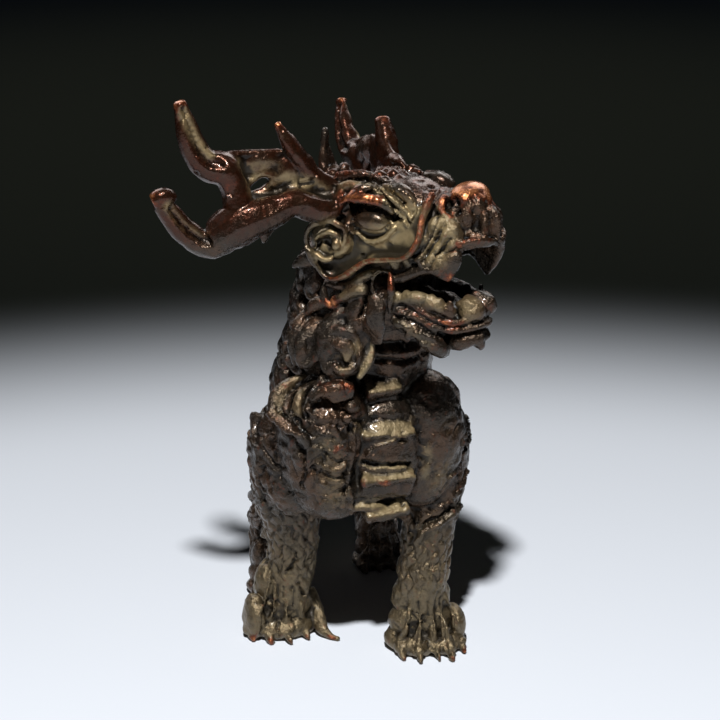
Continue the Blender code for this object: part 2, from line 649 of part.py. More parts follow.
def centre_over_origin(mesh):
    """Puts the middle of the figure's length and width over the origin, and the soles' plane at z 0."""
    low = [min(v.co[i] for v in mesh.vertices) for i in range(3)]
    high = [max(v.co[i] for v in mesh.vertices) for i in range(3)]
    shift = Vector((-(low[0] + high[0]) / 2, -(low[1] + high[1]) / 2, 0))
    mesh.transform(Matrix.Translation(shift))
    return shift


def dress_soles(obj, cutters):
    """Cuts the paws off flat at the ground."""
    reach = 2 * HEIGHT
    bm = bmesh.new()
    bmesh.ops.create_cube(bm, size=reach, matrix=Matrix.Translation((0, 0, -reach / 2)))
    mesh = bpy.data.meshes.new("sole_cutter")
    bm.to_mesh(mesh)
    bm.free()
    cutter = bpy.data.objects.new("sole_cutter", mesh)
    cutter.hide_render = True
    cutter.display_type = "WIRE"
    cutters.objects.link(cutter)
    cut = obj.modifiers.new("Soles", "BOOLEAN")
    cut.operation = "DIFFERENCE"
    cut.object = cutter


def patinated_brass():
    material = bpy.data.materials.new("patinated_brass")
    material.use_nodes = True
    shader = material.node_tree.nodes["Principled BSDF"]
    shader.inputs["Base Color"].default_value = (0.075, 0.045, 0.028, 1)
    shader.inputs["Metallic"].default_value = 0.85
    shader.inputs["Roughness"].default_value = 0.42
    return material


def main():
    clear_scene()
    parts = add_collection("taotie_ornament")
    cutters = add_collection("cutters")
    obj = bpy.data.objects.new("taotie_beast", build_casting())
    parts.objects.link(obj)
    fuse(obj)
    centre_over_origin(obj.data)
    dress_soles(obj, cutters)
    obj.data.materials.append(patinated_brass())
    obj.data.shade_smooth()
    return obj


if __name__ == "__main__":
    main()
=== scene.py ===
# %% [markdown]
# # A small cast brass beast
# This is a desk ornament about ten centimetres high: a horned beast with an open mouth, a curly mane and
# scaled legs, cast in brass in one pour. It has no separate parts, so the model is one closed skin too.
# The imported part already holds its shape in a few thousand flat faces. Here that shape is built again, much
# finer, and then it gets what a caster's file, a century of hands and a little dirt did to the real one.

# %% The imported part
from math import cos, pi, radians, sin

import bpy
import numpy as np
from mathutils import Euler, Matrix, Vector


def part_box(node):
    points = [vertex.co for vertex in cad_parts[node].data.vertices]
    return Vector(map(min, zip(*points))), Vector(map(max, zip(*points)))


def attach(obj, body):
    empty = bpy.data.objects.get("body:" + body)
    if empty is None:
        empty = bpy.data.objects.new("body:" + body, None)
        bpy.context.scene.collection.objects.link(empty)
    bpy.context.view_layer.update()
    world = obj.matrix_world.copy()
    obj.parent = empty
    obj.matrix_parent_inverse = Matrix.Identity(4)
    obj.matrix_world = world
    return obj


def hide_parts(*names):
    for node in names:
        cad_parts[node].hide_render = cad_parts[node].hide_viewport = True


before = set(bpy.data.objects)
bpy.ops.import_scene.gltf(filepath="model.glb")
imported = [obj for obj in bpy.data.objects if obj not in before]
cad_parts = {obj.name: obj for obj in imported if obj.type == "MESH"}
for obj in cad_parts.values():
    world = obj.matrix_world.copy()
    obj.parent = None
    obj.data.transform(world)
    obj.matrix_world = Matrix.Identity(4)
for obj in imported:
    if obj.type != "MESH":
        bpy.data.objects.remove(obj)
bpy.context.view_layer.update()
NODE = "taotie_beast"
low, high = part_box(NODE)
print("the packed figure is", [round(v * 1000, 1) for v in high - low], "mm")

# %% [markdown]
# ## Camera
# The photograph looks a little down on the figure from its right front. The camera comes first, because it
# decides which details have to be right. A long lens from a third of a metre keeps the perspective of the
# photograph, and the frame is 720 pixels wide at 0.18 mm a pixel.

# %% Camera
CENTRE = Vector((0.011, -0.0025, 0.052))
DISTANCE = 0.33
PIXEL = 0.18e-3
FRAME_WIDTH = PIXEL * 720
SENSOR = 36


def direction(azimuth, elevation):
    """From the figure outwards; azimuth 0 is in front of its chest and 90 at its left side."""
    turn, rise = radians(azimuth), radians(elevation)
    return Vector((sin(turn) * cos(rise), -cos(turn) * cos(rise), sin(rise)))


def look_at(obj, target):
    """Turns a camera or a lamp towards a place."""
    obj.rotation_euler = (target - obj.location).to_track_quat("-Z", "Y").to_euler()


view = direction(-20, 18)
bpy.ops.object.camera_add(location=CENTRE + view * DISTANCE)
camera = bpy.context.object
look_at(camera, CENTRE)
camera.data.sensor_width = SENSOR
camera.data.lens = SENSOR * DISTANCE / FRAME_WIDTH
camera.data.clip_start = 0.01
bpy.context.scene.camera = camera
print("lens", round(camera.data.lens, 1), "mm")

# %% [markdown]
# ## How the form is built
# A modeller in wax builds such a beast from lumps and rolls: a lump for each muscle, a roll for each lock,
# lip and lid. The same is done here. Each lump is a sphere that is stretched, each roll is a Bezier curve
# with a round section that swells and tapers, and at the end a voxel remesh melts all of them into one skin.
# Boolean unions could join them too, but with hundreds of shapes they are slow and leave cracks.
# Places are in millimetres of a figure 103 high, in two frames: BODY stands on the ground between the feet,
# and HEAD sits between the eyes, with x forward to the nose, y to the beast's left and z up.

# %% Frames
FIGURE_HEIGHT = 103.2
UNIT = (high.z - low.z) / FIGURE_HEIGHT
BODY = Matrix.Scale(UNIT, 4)
HEAD_AT = (4, -14, 82.8)
HEAD_TURN = 40
HEAD = BODY @ Matrix.Translation(HEAD_AT) @ Matrix.Rotation(radians(HEAD_TURN - 90), 4, "Z")
SIDES = (-1, 1)
MIDLINE = 1.6
print("one unit is", round(UNIT * 1000, 4), "mm; the head looks", HEAD_TURN, "degrees to its left")

# %% Lumps
lumps = []


def lump(place, centre, radii, turn=(0, 0, 0)):
    """A stretched sphere, turned by degrees about its own x, y and z."""
    spin = Euler([radians(a) for a in turn]).to_matrix().to_4x4()
    where, facing, size = (place @ Matrix.Translation(centre) @ spin).decompose()
    bpy.ops.mesh.primitive_uv_sphere_add(
        segments=28,
        ring_count=16,
        radius=1,
        location=where,
        rotation=facing.to_euler(),
        scale=[r * size.x for r in radii],
    )
    lumps.append(bpy.context.object)


def slab(place, centre, half, turn=(0, 0, 0), edge=0.7):
    """A box with rounded edges, for the steps of the chest."""
    spin = Euler([radians(a) for a in turn]).to_matrix().to_4x4()
    where, facing, size = (place @ Matrix.Translation(centre) @ spin).decompose()
    bpy.ops.mesh.primitive_cube_add(size=2, location=where, rotation=facing.to_euler())
    box = bpy.context.object
    box.scale = [h * size.x for h in half]
    bpy.ops.object.transform_apply(location=False, rotation=False, scale=True)
    bpy.ops.object.mode_set(mode="EDIT")
    bpy.ops.mesh.bevel(offset=edge * UNIT, segments=3, affect="EDGES")
    bpy.ops.object.mode_set(mode="OBJECT")
    lumps.append(box)


bpy.ops.object.select_all(action="DESELECT")
print("lumps and slabs are ready")

# %% Rolls
rolls = bpy.data.curves.new("rolls", "CURVE")
rolls.dimensions = "3D"
rolls.bevel_depth = UNIT
rolls.bevel_resolution = 3
rolls.resolution_u = 7
rolls.use_fill_caps = True


def roll(place, points, radii):
    """A round roll of wax through the points, with a radius at each."""
    spline = rolls.splines.new("BEZIER")
    spline.bezier_points.add(len(points) - 1)
    spline.radius_interpolation = "CARDINAL"
    for knot, point, radius in zip(spline.bezier_points, points, radii):
        knot.co = place @ Vector(point)
        knot.radius = radius
        knot.handle_left_type = "AUTO"
        knot.handle_right_type = "AUTO"


def lock(place, points, radii, aside, count=3):
    """Rolls side by side that meet at the tip, as a carved lock of hair or a leaf."""
    last = len(points) - 1
    for k in range(count):
        offset = Vector(aside) * (k - (count - 1) / 2)
        path = [Vector(p) + offset * sin(pi * (0.15 + 0.8 * i / last)) for i, p in enumerate(points)]
        roll(place, path, radii)


def scroll(place, centre, across, up, radii, thickness, turns=1.3, start=0):
    """A roll wound inwards in the plane of two directions, from an outer to an inner radius."""
    outer, inner = radii
    steps = max(6, round(9 * turns))
    path, widths = [], []
    for i in range(steps + 1):
        share = i / steps
        angle = radians(start) + 2 * pi * turns * share
        reach = outer + (inner - outer) * share
        path.append(Vector(centre) + reach * (cos(angle) * Vector(across) + sin(angle) * Vector(up)))
        widths.append(thickness * (1 - 0.35 * share))
    roll(place, path, widths)


def mirrored(points, side):
    """The same points on the right or the left of the head."""
    return [(f, side * out, up) for f, out, up in points]


def head_roll(side, points, radii):
    """A roll on the right or the left of the head."""
    roll(HEAD, mirrored(points, side), radii)


print("rolls, locks and scrolls are ready")

# %% [markdown]
# ## Trunk, chest and shoulders
# The trunk bends to the beast's left towards the tail. Down the throat and chest come broad scutes, each a
# step with a ledge on top, and at both sides of them a rolled border. The shoulders are large smooth muscles
# with flame-shaped curls where they meet the breast.

# %% Trunk


def spine_x(y):
    """The back bends to the beast's left towards the tail."""
    return MIDLINE + 0.0062 * max(0, y + 4) ** 2


def back_z(y):
    """Height of the ridge along the back."""
    return 55.8 - 0.0165 * (y + 2) ** 2


lump(BODY, (MIDLINE, -5, 43), (13, 12, 13))
lump(BODY, (spine_x(8), 8, 40), (11.8, 15, 10))
lump(BODY, (spine_x(18), 18, 37.5), (10.5, 10.5, 10))
lump(BODY, (spine_x(2), 2, 49), (10, 9, 8))
lump(BODY, (-4.2, 2.5, 45.5), (8.4, 8.5, 8.5))
lump(BODY, (9.5, 1, 44.5), (8, 8.5, 8))
KNOBS = 9
for i in range(KNOBS):
    y = 3 + 3.1 * i
    lump(BODY, (spine_x(y), y, back_z(y)), (1.5, 1.9, 2.6), (-20, 0, 0))
print("trunk with", KNOBS, "knobs along the spine")

# %% Chest
# Of each scute: the height of its upper ledge, its own height, how far forward it stands, half its width
SCUTES = (
    (54.4, 6.8, -17.4, 3.3),
    (46.9, 7, -19.2, 5),
    (39, 6.4, -19.9, 4.9),
    (32, 2.4, -18.6, 4.2),
)
lump(BODY, (-7.8, -11.6, 44.3), (8.6, 7.9, 10.8), (0, 10, 0))
lump(BODY, (11, -12, 42.6), (6.8, 6.4, 11.2), (0, -8, 0))
lump(BODY, (1.8, -11.2, 41), (9.5, 8.3, 11.5))
lump(BODY, (-6.8, -11, 34), (7, 7.4, 6))
lump(BODY, (-8.4, -11.4, 38.5), (7.4, 7.2, 7.6))
lump(BODY, (9.8, -11.2, 35), (7.2, 6.2, 7.6))
for k, (ledge, height, front, half) in enumerate(SCUTES):
    middle = 1.3 + 0.2 * (k % 2)
    lean = (-2, 3, 1, -3)[k]
    slab(BODY, (middle, front + 5.4, ledge - height / 2), (half, 4.2, height / 2 - 0.4), (16, lean, 0), 1)
    slab(BODY, (middle, front + 2, ledge - 1.6), (half * 0.96, 2.1, 0.9), (34, lean, 0), 0.5)
for z, front, half in ((57.9, -15.4, 6.8), (62.4, -15.4, 6.6)):
    slab(BODY, (3.6, front + 3.6, z), (half, 3.6, 0.9), (14, 3, 0), 0.8)
roll(BODY, ((8.2, -14.8, 43.6), (8.8, -15.6, 39.6), (8, -15.8, 35), (7.2, -14.4, 30)), (0.6, 1.7, 1.7, 0.8))
arch = (
    (-5.2, -16, 30.4), (-4.3, -16.8, 31.3), (-0.9, -17.2, 31.1), (3.8, -15.8, 29.3), (7.2, -13.4, 25.6),
    (7.8, -12.2, 20),
)
roll(BODY, arch, (0.5, 0.7, 0.8, 0.9, 0.9, 0.5))
print(len(SCUTES), "scutes on the chest and folds on the throat")

# %% Shoulders
lump(BODY, (-12.4, -4, 39.6), (5.8, 8, 8.6))
lump(BODY, (-11.6, -5, 34), (6.2, 7.2, 7))
lump(BODY, (15, -6.5, 38.6), (5.8, 7.8, 8.6))
lump(BODY, (13.2, -9, 31), (5.6, 6.6, 6.4))
LEAF = (
    (
        (-11.4, -12, 54.8), (-14.4, -11.6, 53.6), (-16.8, -12, 51.2), (-17.2, -13.4, 49),
        (-15.8, -15.2, 47.8), (-13, -17, 44.8), (-11.2, -17.8, 42.8),
    ),
    (
        (-12.6, -12.4, 53.4), (-15.2, -13, 51.4), (-15.6, -14.2, 49.6), (-14.2, -16, 47.6),
        (-12, -17.6, 45.2),
    ),
    ((-11.2, -14, 53.9), (-13.5, -14.8, 52.1), (-14.2, -15.8, 50), (-12.9, -17, 47.8)),
    ((-10.8, -15.6, 52.4), (-12.4, -16.4, 50.4), (-11.8, -17.4, 48.2)),
)
for k, path in enumerate(LEAF):
    widths = [1.05 - 0.12 * k] * len(path)
    widths[0] = widths[-1] = 0.4
    roll(BODY, path, widths)
roll(
    BODY, ((-12.2, -17, 52.4), (-10.4, -17.8, 53.6), (-8.2, -18.6, 54.2), (-5.6, -19.4, 54.2)),
    (0.8, 1.35, 1.5, 0.9),
)
roll(
    BODY, ((-12, -17.2, 51.9), (-10.2, -18.4, 52.3), (-8, -19.2, 52.7), (-5.8, -19.8, 53.2)),
    (0.4, 0.6, 0.6, 0.4),
)
for x, y, z, size in (
    (-9.9, -16.4, 55.3, 0.9), (-8.5, -17.2, 56, 0.8), (-7, -18, 55.8, 0.9), (-5.4, -19.2, 51.2, 1.1),
    (-6.4, -19.4, 49, 0.8),
):
    lump(BODY, (x, y, z), (size, size * 0.9, size))
roll(BODY, ((-8.4, -18.6, 49.6), (-8.8, -18.8, 47.2), (-7.4, -19.4, 44.8)), (0.5, 0.8, 0.5))
LEFT_FOLDS = (
    ((12.6, -12.6, 51), (16, -9.4, 49.2), (18.2, -7.6, 44.6), (17.2, -8.8, 39.6)),
    ((11.4, -14.2, 49.6), (13.4, -13, 45), (13.6, -13.6, 39.4)),
    ((9.6, -16.4, 46), (10, -16.8, 40), (9, -16.6, 34.4)),
)
for path in LEFT_FOLDS:
    roll(BODY, path, [0.6, *[1.2] * (len(path) - 2), 0.6])
for side, out in zip(SIDES, (-17.4, 20.2)):
    roll(BODY, ((out - side * 0.6, -1, 45), (out, -3, 39), (out - side * 1.5, -4, 32)), (1.2, 1.5, 0.9))
scroll(BODY, (-15.6, -8.2, 42), (0.8, -0.6, 0), (0, 0, 1), (2.2, 0.6), 0.7, 1.4, 150)
print("shoulders")

# %% [markdown]
# ## Legs
# Each leg is one thick roll that ends in a broad paw. A paw is a low lump with four or five toes, whose
# tendons run up over the back of the foot, and short claws. The right forepaw has a claw on its inner side
# too. The paw is modelled once, as a recipe, and set down four times at its own place, turn and size.

# %% Paws
# Each toe of a paw: how far it stands to the side and how far it reaches forward
PLAIN_TOES = ((-5.5, -4.6), (-1.8, -5.2), (1.8, -5.2), (5.5, -4.6))
RIGHT_TOES = ((-6.9, -1.6), (-4.4, -4), (-1.3, -5.6), (2.2, -5.2))
LEFT_TOES = ((-5.2, -4.6), (-2.7, -6.7), (0.6, -6.6), (2.9, -7.4), (5.8, -5.2))


def paw(at, heading=0, size=1, toes=PLAIN_TOES, inner_claw=False):
    """A paw that stands on the ground at a place, turned by degrees."""
    turn = Matrix.Rotation(radians(heading), 4, "Z")
    spot = BODY @ Matrix.Translation((*at, 0)) @ turn @ Matrix.Scale(size, 4)
    lump(spot, (0, 0.2, 2), (6.9, 5.2, 2.9))
    lump(spot, (0, 0.8, 5), (6, 4.6, 4.6))
    lump(spot, (0, 1.4, 9), (5.2, 4.2, 5.6))
    lump(spot, (0, 3.6, 3), (4.8, 3.4, 3.6))
    web = [(x * 0.88, reach + 3, 1.8) for x, reach in toes]
    roll(spot, web, [1.9] * len(web))
    for x, reach in toes:
        toe = (
            (x * 0.48, -2, 13),
            (x * 0.62, -2.4, 9.6),
            (x * 0.8, 0.35 * reach - 1.9, 5.8),
            (x * 0.94, reach + 2.2, 2.4),
            (x, reach + 0.9, 1.3),
        )
        roll(spot, toe, (0.2, 0.3, 0.42, 1.1, 1.15))
        claw = ((x, reach + 0.6, 1.2), (x * 1.01, reach - 0.4, 0.7), (x * 1.02, reach - 0.8, 0.3))
        roll(spot, claw, (0.7, 0.45, 0.25))
    if inner_claw:
        path = ((4.8, 0.6, 7), (5.4, -1.8, 3.8), (5.2, -4.4, 1.7), (5.8, -6.4, 0.9), (7.2, -8, 0.4))
        roll(spot, path, (1.2, 1.4, 1.1, 0.6, 0.3))


FOREPAWS = (((-11.3, 2.4), RIGHT_TOES), ((10.8, -12), LEFT_TOES))
for (at, toes), heading, inner_claw in zip(FOREPAWS, (4, -3), (True, False)):
    paw(at, heading, 1.03, toes, inner_claw)
lump(BODY, (16.6, -12.6, 3.8), (1.9, 3.4, 3.8))
lump(BODY, (-17.4, 1.6, 4.2), (2, 3.2, 4.2))
print("forepaws")

# %% Forelegs
RIGHT_FORELEG = ((-12.4, -3, 41), (-12, -1.4, 31), (-10.2, 0.8, 21), (-10, 2.2, 14), (-11, 2.8, 6))
LEFT_FORELEG = ((14.8, -6.5, 40), (13.8, -9.2, 31), (11.9, -11, 21), (10.8, -11.6, 14), (10.8, -11.6, 6))
roll(BODY, RIGHT_FORELEG, (7, 6.1, 4.9, 4.5, 4.2))
roll(BODY, LEFT_FORELEG, (6.6, 5.6, 4.6, 4.6, 4.2))
for x, y, side in ((-15.2, 1.5, -1), (17.4, -5, 1)):
    for k in range(3):
        z = 30 - 5.5 * k
        inward = x - side * k
        tuft = ((inward, y, z + 3), (inward + side * 0.4, y + 2.4, z), (inward, y + 4.6, z - 1.2))
        lock(BODY, tuft, (1.1, 1, 0.4), (side * 0.8, 0, 0.9), 2)
print("forelegs with tufts behind the elbows")

# %% Hindquarters
HIND_PAWS = ((-7.9, 19.5), (16, 24.5))
HIND_LEGS = []
for side, (foot_x, foot_y) in zip(SIDES, HIND_PAWS):
    hip = spine_x(18) + side * 6.2
    lump(BODY, (hip, foot_y - 3, 32.5), (5.8, 8.4, 9.6))
    leg = (
        (hip + side * 0.6, foot_y - 4.5, 30),
        (hip + side * 1.4, foot_y - 6.5, 22),
        (foot_x, foot_y + 1.5, 16),
        (foot_x, foot_y + 4.6, 11),
        (foot_x, foot_y + 2.6, 5),
    )
    HIND_LEGS.append(leg)
    roll(BODY, leg, (6.6, 5.2, 4.1, 3.4, 3.9))
    paw((foot_x, foot_y), 0, 0.8)
    for k in range(3):
        z = 20 - 4 * k
        tuft = (
            (foot_x + side * 1.6, foot_y + 3, z),
            (foot_x + side * 2, foot_y + 6.4, z - 2.5),
            (foot_x + side, foot_y + 8.4, z - 2),
        )
        lock(BODY, tuft, (1.1, 0.9, 0.4), (side * 0.7, 0, 0.9), 2)
print("hind legs")

# %% Tail
x = spine_x(27)
roll(BODY, ((x, 25, 42), (x, 29.5, 38), (x, 31.5, 31), (x, 30.5, 25)), (3.4, 3.4, 3.6, 1.2))
for side in SIDES:
    for k in range(3):
        z = 41 - 4.5 * k
        lobe = (
            (x + side * 1.4, 29 + k * 0.6, z),
            (x + side * 3.4, 31.6 + k * 0.3, z - 4.2),
            (x + side * 3.6, 33.2, z - 8.2),
            (x + side * 2, 34.4, z - 6.6),
        )
        lock(BODY, lobe, (1.2, 1.3, 0.9, 0.4), (side * 0.9, 0.5, 0), 2)
roll(
    BODY, ((x, 31, 40), (x, 33.4, 35), (x, 34.2, 29), (x, 35.4, 25.4), (x, 36.2, 27.4)),
    (1.8, 2, 1.8, 1.2, 0.5),
)
print("a plume of a tail against the rump")

# %% [markdown]
# ## Neck and mane
# The neck is two thick rolls, one under the throat and one under the nape. The mane is rows of locks around
# it, each ending in a tight curl, and towards the chest hang longer locks that were carved one by one.

# %% Neck
roll(BODY, ((2.4, -2, 48), (4.2, -6.6, 57), (4.8, -9, 66), (4.2, -10.6, 76)), (12.4, 9.8, 8.9, 8.6))
roll(BODY, ((0.4, 2, 50), (0.2, 0.4, 58), (-0.2, -1.6, 66), (-0.4, -3.4, 74)), (10.2, 9.2, 7.8, 7))
print("neck")

# %% Mane
# Of each row: its height, how far it stands from the neck's middle, where that middle is, how many locks
MANE_ROWS = ((73.5, 8.6, -4.6, 7), (66.5, 9.6, -2.6, 8), (59.5, 10.6, -0.6, 8), (52.5, 11.6, 1.2, 9))
for row, (z, reach, back, count) in enumerate(MANE_ROWS):
    for k in range(count):
        share = (k + 0.5 * (row % 2)) / (count - 0.5)
        angle = radians(200 - 215 * share)
        out = Vector((cos(angle), sin(angle) * 0.86, 0))
        hub = Vector((1, back, z))
        along = Vector((-out.y, out.x, 0)) * (1 if k % 2 else -1)
        path = (
            hub + out * (reach - 1.4) + Vector((0, 0, 3.4)),
            hub + out * (reach + 0.4) + along * 1.2,
            hub + out * (reach + 1.3) - along * 0.4 + Vector((0, 0, -3.4)),
            hub + out * (reach + 1.9) - along * 1.2 + Vector((0, 0, -4.6)),
        )
        lock(BODY, path, (0.9, 1.2, 1.1, 0.7), along * 1.3, 3)
        curl = hub + out * (reach + 1.9) - along * 0.6 + Vector((0, 0, -4.4))
        scroll(BODY, curl, along, (0, 0, 1), (1.9, 0.5), 0.75, 1.2, 200)
print(sum(row[3] for row in MANE_ROWS), "locks in", len(MANE_ROWS), "rows")

# %% Locks before the right side of the neck
BREAST_LOCKS = (
    (
        (-9.4, -15.8, 62.6), (-7, -17.8, 64.2), (-4.8, -18.6, 61.6), (-5.2, -19, 58.6), (-7, -19, 57.4),
        (-8.8, -18.4, 58.6),
    ),
    ((-8.2, -18, 62.4), (-6.4, -18.9, 61.2), (-6.6, -19.1, 59.2)),
    ((-2.4, -17.6, 63.6), (-2.5, -18.6, 61.2), (-3, -19.4, 58.7), (-4.6, -19.8, 56.1)),
    (
        (-11.2, -12.6, 63.8), (-12.6, -13.2, 60.5), (-11.8, -13.8, 57.8), (-10.4, -14.8, 59.1),
        (-9.4, -14.8, 62.6),
    ),
    ((-10.2, -10.6, 66.6), (-12.4, -11.2, 63.8), (-13.4, -11.6, 60.4), (-13.2, -12, 57)),
    ((-6, -15.6, 68.4), (-7.6, -16, 66), (-9.6, -15.4, 64.4)),
    ((-4.6, -17.4, 68.2), (-5, -18.2, 65.4), (-4, -18.8, 62.8)),
    ((-2.6, -18, 68.4), (-2.2, -18.8, 65.4), (-1.4, -18.8, 62.4)),
    ((-9.8, -15.6, 60.6), (-9, -17, 57.6), (-7.6, -18.2, 55.8)),
    ((-3.8, -18.4, 66.6), (-3.4, -18.9, 64), (-3.6, -19, 61)),
)
for k, path in enumerate(BREAST_LOCKS):
    lock(BODY, path, [0.5, *[0.68] * (len(path) - 2), 0.35], (0.8, -0.4, 0.5), 2)
for x, y, z in (
    (-10.8, -7.6, 60.6), (-12.2, -7.2, 58.4), (-13, -6.8, 56.2), (-9.6, -9, 63), (-12, -9.6, 60),
    (-12.6, -9.8, 57.2),
):
    lump(BODY, (x, y, z), (1.4, 1.5, 1.2))
    scroll(BODY, (x - 0.7, y - 1, z), (0.8, -0.6, 0), (0, 0, 1), (1.3, 0.5), 0.45, 1.1, 60)
lump(BODY, (-5.6, -14.8, 61), (5.2, 3.8, 6))
lump(BODY, (-9.4, -11.4, 60), (3.2, 3.8, 5.4))
print("locks at the neck")

# %% [markdown]
# ## Head
# The head carries most of the carving, and it is what a buyer looks at first: a flat cheek that ends in a
# thin sharp rim, an almond eye under a heavy brow, a wrinkled muzzle with a round nose, tusks, and a lower
# jaw with a knobbed beard. The far side of the crown is a little lower, as on the real casting.

# %% Skull


def crown_z(forward, out):
    """Height of the forehead, which slopes down to the nose and to both sides."""
    return 6.9 - 0.034 * (forward + 1) ** 2 - 0.07 * out * out


lump(HEAD, (-3.4, -0.4, 0.4), (9.4, 7.7, 5.9), (-5, 0, 0))
lump(HEAD, (-2.6, 0, -5), (8.4, 7.6, 6.4))
lump(HEAD, (3.5, 0, 1.9), (7, 6.4, 4.5), (0, 12, 0))
for side in SIDES:
    lean = 1.6 if side > 0 else 0
    ridge = (
        (-7.4, 7, 6.2 - lean), (-3.2, 6.2, 6.9 - lean), (-0.2, 5.4, 6.4 - lean), (3.4, 4.8, 5.4 - lean),
    )
    head_roll(side, ridge, (0.8, 0.7, 0.6, 0.3))
    temple = ((-7.4, 7.8, 4.6 - lean), (-4.6, 8.2, 5.4 - lean), (-1.8, 7.8, 6.0 - lean))
    head_roll(side, temple, (0.9, 1, 0.5))
for i, f in enumerate((-2.2, -0.4, 1.5, 3.4, 5.2, 7, 8.6)):
    for k in range(4):
        out = -3.6 + 2.3 * k + (1.1 if i % 2 else 0) + 0.3 * sin(5 * i + 3 * k)
        size = 0.9 + 0.25 * sin(7 * i + 2 * k)
        lump(HEAD, (f, out, crown_z(f, out) - 0.7 * size), (size * 1.15, size, size))
lump(HEAD, (-9.4, -2.4, 4.4), (3.4, 3.6, 2.6))
for k in range(5):
    foot = (-10.2 + 0.5 * (k % 2), -5.4 + 1.1 * k, 4.6)
    roll(HEAD, (foot, (-11.2, -4.8 + 0.5 * k, 9), (-11.2, -4.1, 14.0 - 1.3 * (k % 3))), (1, 0.65, 0.3))
for k in range(5):
    lump(HEAD, (-8.8 - 0.5 * (k % 3), -5.6 + 1.2 * k, 6.4 + 0.5 * (k % 2)), (0.9, 0.8, 0.9))
print("skull with a bumpy forehead")

# %% Eyes and brows
for side in SIDES:
    lean = 1.2 if side > 0 else 0
    lump(HEAD, (0.3, side * 7.6, 0.4), (3.5, 2.4, 2.2), (0, 6, 0))
    lump(HEAD, (-4.6, side * 7.8, -0.6), (3, 1.6, 2.4))
    brow = ((-6.9, 9, 0.4), (-5.6, 9.7, 2.5), (-3.3, 9.9, 3.8), (-0.7, 9.8, 4.2), (2, 9, 3.8), (4.2, 8, 2))
    head_roll(side, brow, (0.5, 0.65, 0.75, 0.8, 0.75, 0.4))
    for flame in (
        ((-6.2, 9.3, 2.4), (-5.2, 8.8, 4.4), (-4.4, 8.2, 5.6)),
        ((-3.2, 9.4, 3.9), (-1.6, 8.8, 5.2), (0.2, 8.2, 5.9)),
    ):
        head_roll(side, [(f, out, up - 0.4 * lean) for f, out, up in flame], (0.9, 1, 0.4))
    shelf = ((-6, 7.2, 3.8 - lean), (-1.6, 6.9, 4.8 - lean), (2.8, 6.3, 4.4 - lean))
    head_roll(side, shelf, (1.2, 1.6, 1.2))
    leaf = ((1, 7.2, 5.4 - 0.6 * lean), (4.2, 7.2, 4.0 - 0.4 * lean), (6.9, 7.2, 1.5))
    head_roll(side, leaf, (0.5, 1.5, 0.7))
    leaf = ((1.6, 6.8, 6.0 - 0.6 * lean), (5.2, 6.6, 4.9 - 0.4 * lean), (7.4, 6.8, 2.4))
    head_roll(side, leaf, (0.5, 1.5, 0.7))
print("eyes, brows and the leaf-like tufts across them")

# %% Muzzle
lump(HEAD, (9, 0, 0), (9, 5.8, 4))
lump(HEAD, (14.6, 0, 0.7), (3.4, 4.2, 3.7))
lump(HEAD, (17, 0, 0.5), (1.9, 3, 3.4))
lump(HEAD, (14.2, -0.3, 4.5), (3, 3.9, 2.2), (0, -6, 0))
lump(HEAD, (16.4, 0, -1), (2.4, 4.4, 1.5))
lump(HEAD, (15.7, -0.6, 3.3), (2.3, 3.3, 2.5))
roll(HEAD, ((17, 0, 3.2), (18.5, 0, 1.8), (18.9, 0, -0.2), (18.9, 0, -2.4)), (0.6, 0.85, 0.85, 0.7))
for k, f in enumerate((8.6, 9.8, 10.9)):
    fold = (
        (f - 0.6, -4.4, 2.6 - 0.1 * k), (f + 0.3, -2.2, 4.1), (f + 0.5, 0, 4.5), (f + 0.3, 2.2, 4),
        (f - 0.6, 4.2, 2.2),
    )
    roll(HEAD, fold, (0.4, 0.6, 0.65, 0.6, 0.4))
for side in SIDES:
    lump(HEAD, (7.4, side * 5.6, -3.6), (6.6, 1.9, 3.4), (0, -14, 0))
    lump(HEAD, (12, side * 4.9, -1.2), (3.6, 2.2, 3.2), (0, 20, 0))
    lump(HEAD, (14.4, side * 3.4, 1.6), (2.4, 1.5, 2.4))
    head_roll(
        side, ((16.9, 1.8, 3), (17.7, 2.3, 1.8), (18.1, 2.7, 0), (17.9, 3.2, -1.6)),
        (0.4, 0.7, 0.7, 0.5),
    )
    wing = ((11.6, 3.8, 4.8), (11.3, 4.8, 3.5), (11.8, 5.3, 2.3), (13, 5.1, 1.6), (14.2, 4.4, 1.8))
    head_roll(side, wing, (0.45, 0.6, 0.65, 0.55, 0.3))
    lip = ((3.6, 8.2, -9.2), (6.4, 8, -8.3), (9.4, 7.4, -6.9), (12.2, 6.8, -6.6))
    head_roll(side, lip, (0.7, 0.8, 0.9, 0.8))
    for k in range(3):
        web = ((4.0 + 2.4 * k, 7.6, -5.2 + 0.2 * k), (4.6 + 2.4 * k, 7.4, -7.4 + 0.5 * k))
        head_roll(side, web, (1.2, 0.9))
    edge = (
        (13.4, 6.3, -4.4), (14.4, 5.8, -3.2), (15.9, 5.2, -2.2), (17.6, 4.1, -1.7), (18.9, 2.4, -1.9),
        (19.4, 0.6, -2.8),
    )
    head_roll(side, edge, (0.55, 0.5, 0.45, 0.45, 0.45, 0.5))
    inner = ((14.7, 5.2, -3.9), (16, 4.7, -2.9), (17.6, 3.6, -2.5), (18.8, 1.8, -2.8))
    head_roll(side, inner, (0.35, 0.4, 0.4, 0.35))
    for k in range(6):
        share = k / 5
        top = (9.6 + 5.0 * share, 7.1 - 1.3 * share, -4.8 + 0.9 * share)
        bend = (11.2 + 3.6 * share, 7.0 - 1.0 * share, -6.5 + 0.5 * share)
        head_roll(side, (top, bend, (13.5, 6.2, -8.5)), (0.75, 0.6 if k % 2 else 0.8, 0.3))
